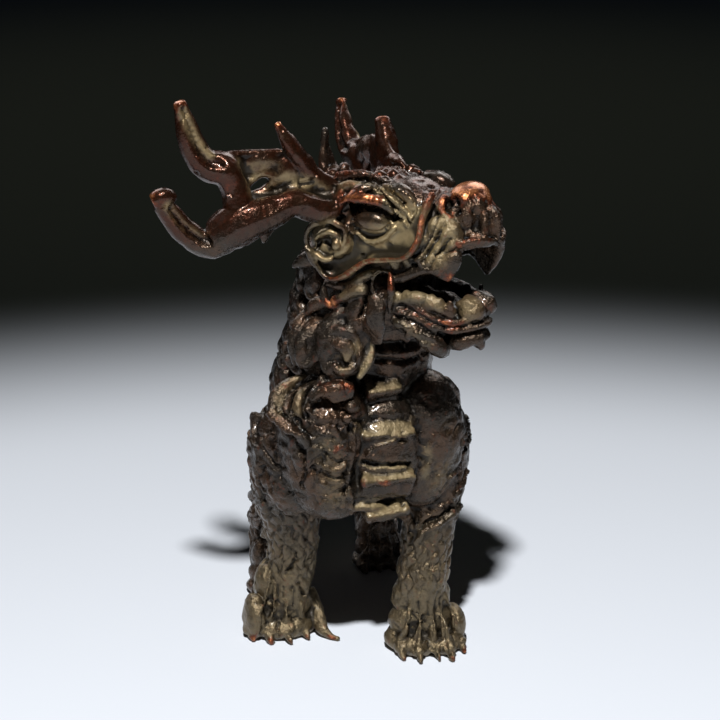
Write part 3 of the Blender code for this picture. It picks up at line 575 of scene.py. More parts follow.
for k in range(6):
    share = k / 5
    top = (12.8 + 5.6 * share, 4.6 - 1.8 * share, -3.4 + 0.6 * share)
    bend = (13.4 + 3.8 * share, 4.9 - 0.7 * share, -6.4)
    roll(HEAD, (top, bend, (15.4, 4.5, -9.8)), (0.7, 0.7, 0.3))
print("muzzle with lips and tusks")

# %% Cheek rims
RIM = (
    (10.1, 5.5, 5.4),
    (9.6, 6.3, 3.5),
    (9.2, 7.2, 0.9),
    (9.2, 8.1, -1.2),
    (8.4, 8.7, -3.4),
    (6.9, 9.1, -4.9),
    (3.7, 9.4, -5.6),
    (0.4, 9.6, -6.3),
    (-1.8, 9.7, -7.7),
    (-4.5, 9.6, -9.5),
    (-7.2, 9.4, -10),
    (-8.9, 9.6, -8.4),
    (-10.2, 10.4, -5.4),
)
# The cheek's upper edge, under the ear, the eye and the leaf
UNDER_EYE = (
    (-8, 9, -2.6), (-4, 8.8, -1.6), (-1, 8.4, -1.6), (2.5, 8, -0.6), (5.5, 7.4, 1.4), (7.8, 6.6, 3.2),
)
CHEEK_HUB = (0.8, 8.5, -3.6)


def cheek(side):
    """A thick dish between the rim and a hub, in rings, closed at its back."""
    outline = [*RIM[1:], *UNDER_EYE]
    rings, corners = 6, []
    for back in (0, 2.6):
        for ring in range(1, rings + 1):
            share = ring / rings
            for f, out, up in outline:
                middle = CHEEK_HUB[1] + (out - CHEEK_HUB[1]) * share**3 - 0.3 * sin(pi * share) - back
                spot = (
                    CHEEK_HUB[0] + (f - CHEEK_HUB[0]) * share, side * middle,
                    CHEEK_HUB[2] + (up - CHEEK_HUB[2]) * share,
                )
                corners.append(HEAD @ Vector(spot))
    count = len(outline)
    faces = []
    for k in range(count):
        n = (k + 1) % count
        for ring in range(rings - 1):
            a, b = ring * count, (ring + 1) * count
            faces += [
                (a + k, a + n, b + n, b + k),
                (
                    rings * count + b + k, rings * count + b + n, rings * count + a + n,
                    rings * count + a + k,
                ),
            ]
        rim = (rings - 1) * count
        faces.append((rim + k, rim + n, rings * count + rim + n, rings * count + rim + k))
    faces += [tuple(reversed(range(count))), tuple(rings * count + k for k in range(count))]
    shell = bpy.data.meshes.new("cheek")
    shell.from_pydata(corners, [], faces)
    dish = bpy.data.objects.new("cheek", shell)
    bpy.context.scene.collection.objects.link(dish)
    bpy.context.view_layer.objects.active = dish
    dish.select_set(True)
    bpy.ops.object.mode_set(mode="EDIT")
    bpy.ops.mesh.select_all(action="SELECT")
    bpy.ops.mesh.normals_make_consistent(inside=False)
    bpy.ops.object.mode_set(mode="OBJECT")
    dish.select_set(False)
    lumps.append(dish)


# On the right side the rim reaches one point higher, as on the photograph
for side, first in zip(SIDES, (0, 1)):
    cheek(side)
    for step in (0, 0.4, 0.75):
        path = [(f, out + step, up + 0.1 * step) for f, out, up in RIM[first:]]
        head_roll(side, path, [0.3, *[0.42] * (len(path) - 2), 0.35])
    fold = ((-8.6, 8.6, -11.4), (-6.1, 8.7, -11.6), (-3.2, 8.6, -10.9), (-0.7, 8.4, -9.2), (1.9, 8.1, -7.8))
    head_roll(side, fold, (0.5, 0.8, 0.85, 0.8, 0.5))
print("cheeks and their rims")

# %% Ears
for side in SIDES:
    lump(HEAD, (-7.2, side * 8.8, -3.4), (3.9, 1.2, 3.6))
    rim = (
        (-10.3, 10.4, -6.2), (-10.9, 10.7, -3.6), (-10.3, 10.8, -1.7), (-8.5, 10.7, -0.5),
        (-6.3, 10.5, -0.1), (-4.6, 10.1, -0.9), (-4, 9.8, -2.4), (-4.6, 9.6, -4.2),
    )
    head_roll(side, rim, (0.35, 0.45, 0.55, 0.6, 0.6, 0.55, 0.5, 0.3))
    inner = ((-9.9, 10, -4.1), (-8.3, 10.2, -2.6), (-6.6, 10.2, -2.1), (-5.2, 10, -2.7))
    head_roll(side, inner, (0.35, 0.45, 0.45, 0.3))
    lump(HEAD, (-5.6, side * 10, -4.1), (0.8, 0.8, 0.95))
    curl = ((-6.4, 9.9, -6.6), (-7.8, 10.1, -6.9), (-9, 10.2, -6.4), (-9.9, 10.4, -5.2))
    head_roll(side, curl, (0.3, 0.5, 0.5, 0.35))
    point = ((-9.3, 10.2, -8), (-10.2, 10.8, -6.4), (-11, 11.1, -4.9))
    head_roll(side, point, (0.6, 0.55, 0.3))
    lock(
        HEAD, mirrored(((-9, 8.6, -7.4), (-12.4, 9.2, -7.8), (-14.4, 9.6, -9)), side), (1, 0.8, 0.35),
        (0.3, 0, 0.9), 2,
    )
print("ears")

# %% Jaw
lump(HEAD, (-1, 0, -12.2), (5.6, 6.6, 4.8))
lump(HEAD, (8.6, 0, -15.6), (7.8, 6, 2.2), (0, 12, 0))
lump(HEAD, (15.2, 0, -15.4), (2.4, 3, 1.8))
roll(HEAD, ((0, 0, -11.4), (5, 0, -13.8), (11, 0, -14.6)), (3, 2.2, 1.5))
for side in SIDES:
    low_side = 1.4 if side > 0 else 0
    gum = (
        (1.6, 7.8, -12.8), (5, 7.8, -13), (7.2, 7.6, -12.3), (9, 7.2, -12.2), (10.8, 6.7, -12.9),
        (12.4, 6, -13.6), (13.9, 4.9, -14.6),
    )
    gum = [(f, out, up - low_side) for f, out, up in gum]
    head_roll(side, gum, (1.2, 1, 1, 1.1, 1.1, 1, 0.9))
    for k in range(7):
        f = 3.6 + 1.4 * k
        up = -11.9 - 0.07 * (k - 3) ** 2 - low_side
        lump(HEAD, (f, side * (8.2 - 0.3 * k), up), (0.8, 0.7, 0.7 + 0.15 * (k % 3)))
    lump(HEAD, (15.6, side * 1.9, -14.3), (2.5, 2, 2.1), (0, 0, side * 20))
    for f, out, up, size in ((14.2, 3, -13.4, 0.8), (15.4, 2.8, -12.9, 0.9), (15, 1.6, -12.7, 0.9)):
        lump(HEAD, (f, side * out, up), (size, size, size * 0.8))
    head_roll(side, ((13.4, 5.4, -14.4), (13.6, 5.8, -12.9), (13.7, 5.9, -12.2)), (0.7, 0.55, 0.35))
    edge = (
        (3.4, 8.2, -14.2), (5.6, 8.2, -14.1), (8.2, 7.9, -14.6), (10.8, 6.9, -16.3), (12.7, 5.7, -17.2),
        (15.2, 3.9, -17.2), (17.4, 1.4, -16.7), (17.9, 0, -16.6),
    )
    head_roll(side, edge, (0.35, 0.5, 0.55, 0.55, 0.5, 0.5, 0.5, 0.5))
    upper = [(f, out - 0.1, up + 1.15) for f, out, up in edge[1:7]]
    head_roll(side, upper, (0.5, 0.75, 0.75, 0.75, 0.65, 0.6))
    loop = (
        (4.2, 8.6, -7.9), (2.6, 8.9, -8), (1.1, 9, -9.4), (1.2, 9, -11.3), (2.6, 8.9, -12.5),
        (4.1, 8.6, -12.2),
    )
    head_roll(side, loop, (0.4, 0.45, 0.5, 0.5, 0.45, 0.35))
    thorn = ((4.2, 9, -8.3), (4.6, 9.4, -10.4), (4.4, 9.2, -12.4), (4, 8.6, -14.8))
    head_roll(side, thorn, (0.35, 0.55, 0.55, 0.3))
print("lower jaw")

# %% Beard
for side in SIDES:
    band = ((4.2, 7.6, -15.8), (7.2, 7.4, -16.4), (9.5, 6.5, -18.3), (11.2, 5.1, -20.6), (11.8, 3.6, -21.8))
    head_roll(side, band, (1.2, 1.5, 1.8, 1.7, 1.1))
    top = ((4.3, 8.5, -15), (6.8, 8.6, -14.9), (9.3, 8, -15.9), (11.4, 6.7, -18), (12.5, 5.1, -19.9))
    head_roll(side, top, (0.35, 0.45, 0.45, 0.45, 0.35))
    for f, out, up, size in (
        (5.9, 9, -16.3, 0.9), (7.4, 8.9, -16.9, 0.7), (8.7, 8.2, -17.9, 1), (9.8, 7.7, -19.3, 0.8),
        (10.8, 6.7, -20.4, 1), (7.4, 8.4, -18.2, 0.7),
    ):
        lump(HEAD, (f, side * out, up), (size, size * 0.8, size * 0.9))
lump(HEAD, (8.6, 0, -18.2), (5.4, 4.6, 2.6))
lock(HEAD, ((11, 0, -20), (14.2, 0, -19.8), (17, 0, -19)), (1.7, 1.3, 1.1), (0, 1.9, 0), 4)
roll(HEAD, ((16, -0.8, -19.6), (16.8, -0.6, -20.6), (16.9, -0.4, -21.5)), (1.2, 0.9, 0.4))
print("beard")

# %% Locks behind the jaw
for side in SIDES:
    bar = ((-0.4, 9, -11.4), (-2.4, 9.3, -12), (-4.2, 9.4, -13), (-6.4, 9.6, -14.4))
    head_roll(side, bar, (0.8, 0.9, 0.9, 0.8))
    hook = ((-8.4, 9, -11.8), (-8.4, 9.3, -13.4), (-7.4, 9.5, -14.8), (-5.8, 9.4, -15.2))
    head_roll(side, hook, (0.4, 0.6, 0.6, 0.4))
    for k in range(3):
        path = (
            (-1.2 - 0.9 * k, 9, -12.6 - 0.6 * k), (-2.0 - 1.0 * k, 9.3, -14.8 - 0.5 * k),
            (-3.6 - 1.1 * k, 9, -16.8 - 0.4 * k), (-5.2 - 1.0 * k, 8.4, -17.8),
        )
        head_roll(side, path, (0.5, 0.75, 0.7, 0.4))
    for k in range(4):
        path = (
            (0.6 + 0.7 * k, 9.0 - 0.1 * k, -12.4), (0.8 + 0.5 * k, 9.2, -15.2), (-0.3 + 0.8 * k, 8.8, -18),
            (-1.4 + 1.0 * k, 8.2, -20.8),
        )
        head_roll(side, path, (0.5, 0.75, 0.75, 0.45))
    lock(
        HEAD,
        mirrored(((-8, 9, -14.8), (-9.8, 9.4, -15.2), (-11.4, 9.6, -16.6), (-12.2, 9.6, -18.2)), side),
        (0.8, 0.8, 0.7, 0.35), (0.3, 0, 0.8), 2,
    )
print("locks behind the jaw")

# %% [markdown]
# ## Antlers
# Each antler is a flat plate with a thick roll along its lower edge, a long trough between the two, a small
# pierced hole, and three points: a spike near the head, an upper tine and a blunt lower one. The left antler
# hangs lower than the right and its first point is a stout peg. In an antler's own frame x runs out along
# it, y to the front and z up.

# %% Antlers
SLIM_SPIKE = ((2, -0.8, 0.8), (5.6, -0.6, 6), (7.5, -0.5, 9), (9.2, -0.4, 12)), (1.2, 1.6, 1.2, 0.45)
STOUT_PEG = ((3.4, -0.6, 0), (4.8, -0.4, 4.3), (5.5, -0.3, 6.8), (6.2, -0.2, 9.8)), (1.4, 1.8, 1.8, 1.2)
BEAM = (
    (-2.5, 0.4, -1.6),
    (2.5, 0.6, -2.2),
    (6.8, 0.8, -1),
    (11, 0.8, -2.2),
    (15, 0.6, -3.4),
    (18.2, 0, -5.4),
    (21.2, -0.6, -7.2),
    (24.6, -0.8, -5.2),
    (27.2, -0.6, -2),
    (28.6, 0, 0),
)
UPPER_TINE = (
    (15.8, 0.4, -2),
    (16.5, 0.2, 2),
    (18, 0, 4.8),
    (21, -0.3, 6),
    (23.2, -0.5, 9.2),
    (24.2, -0.4, 12.4),
    (25.2, 0, 16.2),
)


def antler_place(side, root, splay, drop):
    """The frame of an antler; splay turns it backwards and drop downwards, in degrees."""
    outward = Vector((-cos(radians(splay)), side * sin(radians(splay)), 0))
    front = Vector((sin(radians(splay)), side * cos(radians(splay)), 0))
    axes = Matrix((outward, front, (0, 0, 1))).transposed().to_4x4()
    return HEAD @ Matrix.Translation(root) @ axes @ Matrix.Rotation(radians(drop), 4, "Y")


ANTLERS = (
    (antler_place(-1, (-7, -8.8, 4.2), 45, 0), SLIM_SPIKE),
    (antler_place(1, (-3.6, 9.4, 5), 38, 18), STOUT_PEG),
)
for place, spike in ANTLERS:
    roll(place, BEAM, (2.4, 2.5, 2.4, 3, 3.7, 3.4, 2.4, 2.1, 1.8, 1.5))
    roll(place, ((26.6, -0.3, 0.6), (28.2, 0.3, 1.2), (30, 0.2, 0.4)), (0.9, 1.3, 1.2))
    roll(place, ((11, 0.8, -4.4), (11.7, 0.6, -6), (12, 0.4, -7.6)), (1.2, 0.8, 0.3))
    roll(place, UPPER_TINE, (2.8, 2.5, 2.7, 2.5, 2.1, 1.7, 0.9))
    lump(place, (1.6, -0.8, 0.6), (4.4, 1.5, 2.6), (0, -16, 0))
    lump(place, (6.6, -0.9, 3.2), (4.4, 1.4, 4.2), (0, -20, 0))
    lump(place, (5.4, -0.4, 1.2), (3.6, 1.5, 2.3))
    lump(place, (12.6, -1.1, 5.3), (5, 1.3, 2.1), (0, 6, 0))
    lump(place, (16.2, -0.6, 3.2), (2.2, 1.6, 4.6))
    scroll(place, (12.4, -0.8, 2.1), (1, 0, -0.4), (0.1, 0, 0.62), (2.4, 2.4), 1.15, 1)
    roll(place, ((0, -0.6, 1.2), (4, -1, 4.6), (8.4, -1, 7)), (0.7, 0.75, 0.7))
    roll(place, ((8.4, -1, 7), (13, -0.9, 7), (17.4, -0.5, 6.9)), (0.7, 0.75, 0.9))
    roll(place, *spike)
print("two antlers")

# %% [markdown]
# ## One skin
# The curve becomes a mesh, everything is joined, and the voxel remesh lays one skin around it. The voxels
# are 0.28 mm, about the width of a graver's line on such a casting. A light smoothing takes off the steps
# that the voxels leave.

# %% Melt it into one casting
VOXEL = 0.00028
guide = bpy.data.objects.new("rolls", rolls)
bpy.context.scene.collection.objects.link(guide)
bpy.ops.object.select_all(action="DESELECT")
guide.select_set(True)
bpy.context.view_layer.objects.active = guide
roll_count = len(rolls.splines)
bpy.ops.object.convert(target="MESH")
for piece in lumps:
    piece.select_set(True)
bpy.ops.object.join()
casting = bpy.context.object
casting.name = "brass_beast"
bpy.ops.object.transform_apply(location=True, rotation=True, scale=True)
remesh = casting.modifiers.new("Melt", "REMESH")
remesh.mode = "VOXEL"
remesh.voxel_size = VOXEL
bpy.ops.object.modifier_apply(modifier=remesh.name)
soften = casting.modifiers.new("Soften", "SMOOTH")
soften.factor = 0.5
soften.iterations = 3
bpy.ops.object.modifier_apply(modifier=soften.name)
print(len(lumps), "lumps and", roll_count, "rolls;", len(casting.data.vertices), "points")

# %% [markdown]
# ## Chasing
# After the pour, a craftsman chases the surface with gravers and punches. The skin is fine enough now to do
# the same by moving its points: a graver presses a line, a punch presses a dent, and both work along the
# surface normal. Each tool only touches the points near it.

# %% Gravers and punches


def surface():
    """Places and normals of all points of the casting."""
    mesh = casting.data
    points = np.empty(len(mesh.vertices) * 3, dtype=np.float32)
    normals = np.empty_like(points)
    mesh.vertices.foreach_get("co", points)
    mesh.vertices.foreach_get("normal", normals)
    return points.reshape(-1, 3), normals.reshape(-1, 3)


def curve_points(place, path, steps=8):
    """A smooth line through the path, by Catmull-Rom, in metres."""
    knots = np.array([place @ Vector(p) for p in path])
    knots = np.vstack((2 * knots[0] - knots[1], knots, 2 * knots[-1] - knots[-2]))
    line = []
    for a, b, c, d in zip(knots, knots[1:], knots[2:], knots[3:]):
        for t in np.linspace(0, 1, steps, endpoint=False):
            bend = (2 * a - 5 * b + 4 * c - d) * t**2 + (3 * b - a - 3 * c + d) * t**3
            line.append(0.5 * (2 * b + (c - a) * t + bend))
    line.append(knots[-2])
    return np.array(line)


points, normals = surface()
move = np.zeros(len(points), dtype=np.float32)


def engrave(place, path, width, depth):
    """Presses a line into the skin nearest to the path; a negative depth raises one. In millimetres."""
    length = sum((Vector(b) - Vector(a)).length for a, b in zip(path, path[1:])) / (len(path) - 1)
    line = curve_points(place, path, max(2, round(length / (0.6 * width))))
    reach = (3 * width + 1.5) * UNIT
    near = np.all((points > line.min(0) - reach) & (points < line.max(0) + reach), axis=1).nonzero()[0]
    if len(near) == 0:
        return
    skin = points[near]
    gap = np.full(len(near), np.inf)
    for spot in line:
        touched = skin[((skin - spot) ** 2).sum(1).argmin()]
        gap = np.minimum(gap, ((skin - touched) ** 2).sum(1))
    move[near] -= depth * UNIT * np.exp(-gap / (width * UNIT) ** 2)


def punch(place, centre, radius, depth):
    """Presses a round dent, or raises a knob."""
    engrave(place, (centre, Vector(centre) + Vector((1e-3, 0, 0))), radius, depth)


print("the skin has", len(points), "points")

# %% Chase the head
# Width, depth and path of each line on a side of the head; a negative depth stands out
HEAD_LINES = (
    (
        0.5, 0.55,
        (
            (-6.8, 9, 0.4), (-5.3, 9.2, 1.5), (-3.3, 9.2, 2.4), (-0.4, 9, 2.9), (2.2, 8.6, 2.3),
            (3.3, 8.2, 1.5),
        ),
    ),
    (0.35, -0.5, ((-3.9, 9.2, -1), (-2.2, 9.4, -2.4), (0.2, 9.4, -3), (2.8, 9, -2.1), (4.2, 8.4, -0.4))),
    (0.24, 0.45, ((-3.1, 9, -0.5), (-1.8, 9.4, -1.6), (0.2, 9.4, -2.1), (2.4, 9, -1.3), (3.5, 8.5, -0.1))),
    (0.22, 0.3, ((-3, 9, 0.2), (-1.5, 9, 1.7), (0.5, 8.8, 2.1), (2.3, 8.4, 1.6), (3.6, 8, 0.5))),
    (0.24, -0.45, ((0.7, 8.2, 5.5), (2.9, 8.6, 3.8), (5.1, 8.6, 1.8), (6.6, 8.2, 0.4))),
    (0.22, 0.55, ((1.2, 8.1, 5.7), (3.5, 8.5, 4.1), (5.7, 8.4, 2.2), (6.9, 8, 0.9))),
    (0.24, -0.4, ((1.4, 8, 5.9), (4.1, 8.4, 4.4), (6.6, 8.2, 2.7), (7.2, 8, 1.2))),
    (0.22, 0.55, ((2.2, 8, 5.9), (4.6, 8.1, 4.9), (6.3, 8, 3.7))),
    (0.24, -0.45, ((2.3, 7.6, 6.3), (5.8, 7.8, 5.5), (8.2, 7.6, 3.5), (7.2, 7.6, 1.3))),
    (0.3, 0.5, ((11, 6, 2.5), (10.9, 7, 0.5), (10.4, 7.6, -1.5), (9.3, 8, -4))),
    (0.3, 0.55, ((12.6, 6, 0.4), (11.4, 6.8, -2), (9.4, 7.6, -5.4))),
    (0.28, 0.45, ((13.7, 6, -1.4), (12.8, 6.4, -2.9), (11.5, 7, -4.5))),
    (0.25, -0.35, ((12.2, 6.4, 1.6), (11.6, 6.8, -0.4), (10.2, 7.4, -3), (9, 7.8, -4.8))),
    (0.25, -0.35, ((13.2, 6.2, -0.4), (12.2, 6.6, -2.6), (10.8, 7.2, -4.8))),
    (0.25, 0.4, ((12.3, 6.8, -4.9), (13.6, 6.2, -3.9), (14.6, 5.6, -2.9))),
    (0.25, 0.4, ((10.7, 7.4, -6.3), (11.5, 7, -5))),
    (0.3, 0.35, ((15.9, 2.9, 5), (16.5, 3.2, 3.8), (16.6, 3.6, 2.4))),
    (0.3, 0.5, ((17.6, 1.2, 4.2), (18.6, 1.3, 2.2), (18.8, 1.4, 0.2), (18.7, 1.5, -1.8))),
    (
        0.25, 0.45,
        (
            (5.4, 8.6, -13.4), (8.2, 8.3, -13.9), (10.8, 7.3, -15.5), (12.7, 6.1, -16.4),
            (15.2, 4.3, -16.5), (17.6, 1.6, -16),
        ),
    ),
    (0.3, 0.6, ((4.2, 8.4, -15), (7.4, 8.4, -15.2), (10, 7.6, -16.8), (11.9, 6.2, -18.6))),
    (0.35, 0.6, ((-9.6, 10.2, -5.4), (-8.9, 10.2, -4.2), (-7.2, 10.2, -3.6))),
    (0.7, 1.0, ((2.7, 9.2, -9), (2.5, 9.2, -11.3))),
    (0.25, -0.35, ((-6.9, 7, 6.6), (-4.8, 6.6, 7), (-2.6, 6, 7.2), (0, 5.6, 6.6), (2.5, 5, 5.8))),
    (0.25, 0.35, ((-6.9, 7.6, 6), (-4.2, 7.2, 6.4), (-1.4, 6.4, 6.4), (1.5, 5.8, 5.8))),
)
for side in SIDES:
    for width, depth, path in HEAD_LINES:
        engrave(HEAD, mirrored(path, side), width, depth)
    for f, out, up, radius, depth in (
        (13.2, 4.2, 4, 0.7, 1.8),
        (14, 4.5, 2.7, 0.55, 1.3),
        (-7.4, 10.2, -4.6, 0.9, 0.9),
        (13.1, 6.2, -1, 0.7, -0.5),
        (14.2, 5.6, 0, 0.6, -0.5),
        (12.2, 6.5, 0.2, 0.5, -0.35),
        (11.9, 6.9, -3, 0.6, -0.4),
        (14, 6, -2.4, 0.6, -0.35),
    ):
        punch(HEAD, (f, side * out, up), radius, depth)
print(len(HEAD_LINES), "lines on each side of the head")

# %% Chase the antlers
TROUGH = ((1, 1.6, 0.4), (4.2, 1, 1.6), (8, 0.8, 2.6), (9.8, 0.8, 1.6), (13.6, 0.4, 3.4), (15.6, 0.8, 5.2))
for place, _ in ANTLERS:
    for front in (-1, 1):
        flute = ((19, 2.2, 6.4), (21.4, 2.0, 7.4), (23, 1.7, 10.4), (24.4, 1.2, 15))
        engrave(place, mirrored(flute, front), 0.6, 0.7)
        engrave(place, mirrored(((21.5, 1.8, -6.4), (24.4, 1.5, -4.4), (27, 1.2, -1)), front), 0.6, 0.7)
    engrave(place, TROUGH, 1.1, 0.3)
    engrave(place, ((9.6, 1, 4.6), (12, 1, 4.9), (14.2, 1, 4.4)), 1, 0.2)
print("troughs in the antlers")

# %% Scales


def scale_leg(path, radius, top, bottom, rows, around, depth):
    """Diamond scales around a leg: pairs of crossing grooves, with each scale a little domed."""
    axis = curve_points(BODY, path, 10)
    near = (points[:, 2] < top * UNIT) & (points[:, 2] > bottom * UNIT)
    near = near.nonzero()[0]
    height = points[near, 2]
    order = np.argsort(axis[:, 2])
    centre = np.stack([np.interp(height, axis[order, 2], axis[order, i]) for i in (0, 1)], axis=1)
    arm = points[near, :2] - centre
    reach = np.hypot(arm[:, 0], arm[:, 1])
    keep = reach < radius * UNIT
    near, height, arm = near[keep], height[keep], arm[keep]
    around_share = np.arctan2(arm[:, 1], arm[:, 0]) / (2 * pi) * around
    down_share = (top * UNIT - height) / ((top - bottom) * UNIT) * rows
    # The rows waver, because each scale is cut by eye
    around_share += 0.14 * np.sin(2.3 * down_share + 5) + 0.08 * np.sin(5.1 * down_share)
    down_share += 0.16 * np.sin(2.9 * around_share) + 0.08 * np.sin(6.3 * around_share + 1)
    a = (around_share + down_share / 2) % 1
    b = (around_share - down_share / 2) % 1
    gap = np.minimum(np.minimum(a, 1 - a), np.minimum(b, 1 - b))
    tip = ((1 - a) + b) / 2
    fade = np.clip(np.minimum(top * UNIT - height, height - bottom * UNIT) / (4 * UNIT), 0, 1)
    shape = 0.8 * np.minimum(gap / 0.2, 1) + 0.4 * tip - 0.7
    move[near] += depth * UNIT * fade * shape


scale_leg(RIGHT_FORELEG, 8.5, 37, 11, 11, 13, 0.5)
scale_leg(LEFT_FORELEG, 8, 25, 10, 7, 12, 0.38)
for leg in HIND_LEGS:
    scale_leg(leg, 7.5, 32, 6, 10, 11, 0.45)
print("scaled legs")

# %% Chase the body
# Width, depth and path of each line on the body
BODY_LINES = (
    (
        0.4, 0.8,
        (
            (-18.3, -13, 47.9), (-16.1, -15.5, 46), (-14.6, -17, 43.8), (-13.6, -17.5, 41.3),
            (-13.6, -16, 36.7),
        ),
    ),
    (
        0.45, -0.7,
        (
            (-18.1, -13.5, 49.1), (-16.1, -15.5, 47.5), (-13.7, -17.2, 45.7), (-12.9, -17.8, 43.2),
            (-12.8, -17.4, 40.6),
        ),
    ),
    (
        0.3, 0.6,
        (
            (-12.7, -13, 53.9), (-15.6, -13.5, 52.4), (-16.9, -14.5, 50.2), (-15.4, -16.5, 48.6),
            (-12.9, -18, 46.2),
        ),
    ),
    (0.28, 0.55, ((-12, -14, 52.9), (-14.6, -15, 51.4), (-15.7, -16, 49.8), (-14.2, -17.5, 48.2))),
    (0.22, -0.35, ((-18.8, -6, 38.3), (-16.7, -9, 37.1), (-15.1, -12, 35.9), (-12.4, -14.5, 34.1))),
    (
        0.35, -0.45,
        ((-17.3, -8, 43.5), (-14.5, -9, 43), (-13.6, -10, 41.2), (-15, -9.5, 39.1), (-16.6, -9, 40.9)),
    ),
    (0.35, 0.45, ((-18.2, -6, 42.4), (-17.6, -8, 39.9), (-15.6, -10, 38.2), (-13.4, -12, 38.6))),
    (
        0.3, -0.35,
        (
            (-3.7, -19, 51.7), (-4.6, -20, 47.6), (-5.1, -20, 43.6), (-5.5, -19.5, 39.4),
            (-5.6, -18.5, 34.9), (-4.9, -16.5, 30.4),
        ),
    ),
    (
        0.35, 0.5,
        ((-4.4, -19, 50.7), (-5.6, -20, 46.6), (-6, -20, 42.6), (-6.3, -19.5, 38.4), (-6.6, -18.5, 34.9)),
    ),
    (0.2, -0.35, ((-3.6, -20, 41.4), (-0.7, -20.3, 43.2), (5.6, -20, 44.8))),
    (0.4, 1.1, ((-3.7, -19.5, 39.7), (0.4, -20.3, 39.5), (5.3, -19.5, 38.9))),
    (0.7, 0.45, ((-3.2, -19, 48.3), (0.6, -19.6, 48.1), (6.2, -19, 47.6))),
    (0.45, 0.6, ((-4, -19, 32.4), (0.6, -19, 32.4), (4.2, -18, 31.6))),
    (0.25, -0.6, ((18.4, -7, 36), (15.6, -10, 32.6), (12.8, -13, 29.2))),
    (0.25, -0.55, ((17.6, -8, 42), (15.8, -10.6, 38), (12.6, -14, 34.6))),
    (0.3, -0.55, ((16.8, -9.4, 47), (15.2, -11.6, 43.4), (13, -14, 40.6))),
    (0.3, 0.5, ((16.2, -9.4, 45), (14.6, -11.6, 41.6), (12.2, -14.4, 38.6))),
    (0.25, -0.45, ((-12.4, -16.6, 48.6), (-10.6, -17.6, 46.6), (-8.6, -18.6, 46.4), (-6.6, -19.4, 47.6))),
    (0.3, -0.45, ((-11.6, -17, 44.2), (-9.4, -18.2, 43.4), (-7.6, -19, 44.4))),
    (0.3, -0.5, ((-11, -17, 41.4), (-8.8, -18.4, 39.8), (-6.6, -19.2, 40.8), (-5.8, -19.6, 43))),
    (0.3, -0.45, ((-10.4, -17, 37.6), (-8.6, -18, 36.2), (-6.6, -18.8, 37.4))),
    (0.3, 0.4, ((-10.6, -17, 39.6), (-8.4, -18.2, 38), (-6.4, -19, 38.8))),
    (0.25, 0.4, ((18.9, -7, 34.8), (16.1, -10, 31.4), (13.3, -13, 28))),
    (0.25, -0.4, ((20.3, -6, 29.9), (18.2, -8, 27.7), (13.8, -12, 25.5))),
    (0.4, 0.6, ((14.5, -10, 49.7), (17.4, -9, 45.9), (17.7, -8, 41.3), (16.5, -9, 37.5))),
    (0.35, 0.7, ((7.2, -15, 23.2), (9.2, -15.5, 25.2), (12.6, -15, 26.5), (16.5, -12, 28.5))),
    (0.45, -0.6, ((7.2, -15, 22), (9.2, -15.5, 24), (12.6, -15, 25.3), (16.5, -12, 27.3))),
    (0.28, 0.7, ((-9.8, -2, 11.1), (-7.6, -2.5, 7.6))),
    (0.28, 0.4, ((-10.6, -3, 18.3), (-11.7, -3, 14.6), (-13.6, -3, 12.7))),
    (0.28, 0.6, ((8, -15.5, 8.4), (7.1, -16.5, 6.5))),
    (0.35, 0.35, ((-11.9, -18, 47.8), (-9.2, -18.8, 48.3), (-7.3, -19, 46.6))),
    (0.35, 0.35, ((-10.5, -18, 43.6), (-8.2, -18.6, 41.5), (-6.3, -19, 41.9))),
    (0.35, 0.35, ((-12.1, -17, 40.4), (-11.2, -17, 38.7), (-11.3, -16, 36.3))),
    (0.45, 0.9, ((-2, -17, 56.8), (2.2, -18, 56.8), (8.1, -16, 56.4))),
    (0.8, 1.4, ((0.3, -15, 60.3), (4.4, -15, 60.3), (7.4, -15, 60))),
)
for width, depth, path in BODY_LINES:
    engrave(BODY, path, width, depth)
for x, y, z, radius, depth in (
    (-10.2, -18.2, 51, 0.9, 1.8),
    (-9.5, -18.4, 51.2, 0.6, 1),
    (-5.9, -19.5, 51.1, 0.9, -0.6),
    (-7.3, -19, 49.1, 0.8, -0.5),
    (-6.5, -19.5, 43.1, 0.8, -0.5),
    (-13, -17.5, 45.8, 0.9, -0.5),
    (-5, -20, 36.6, 0.8, -0.5),
    (0.2, -20.4, 36.3, 0.8, -0.4),
):
    punch(BODY, (x, y, z), radius, depth)
for at, toes in FOREPAWS:
    for (x, reach), (x_next, reach_next) in zip(toes, toes[1:]):
        mid, ahead = (x + x_next) / 2 * 1.03, (reach + reach_next) / 2
        line = (
            (0.6 * mid, -4, 10.5), (0.82 * mid, -4.4 + 0.15 * ahead, 6.6), (mid, ahead * 0.75 - 1.2, 3.6),
            (mid, ahead - 0.6, 1.2),
        )
        engrave(BODY, [(at[0] + p, at[1] + q, r) for p, q, r in line], 0.3, 0.35)
print(len(BODY_LINES), "lines on the body")

# %% Strokes of the graver
rng = np.random.default_rng(3)
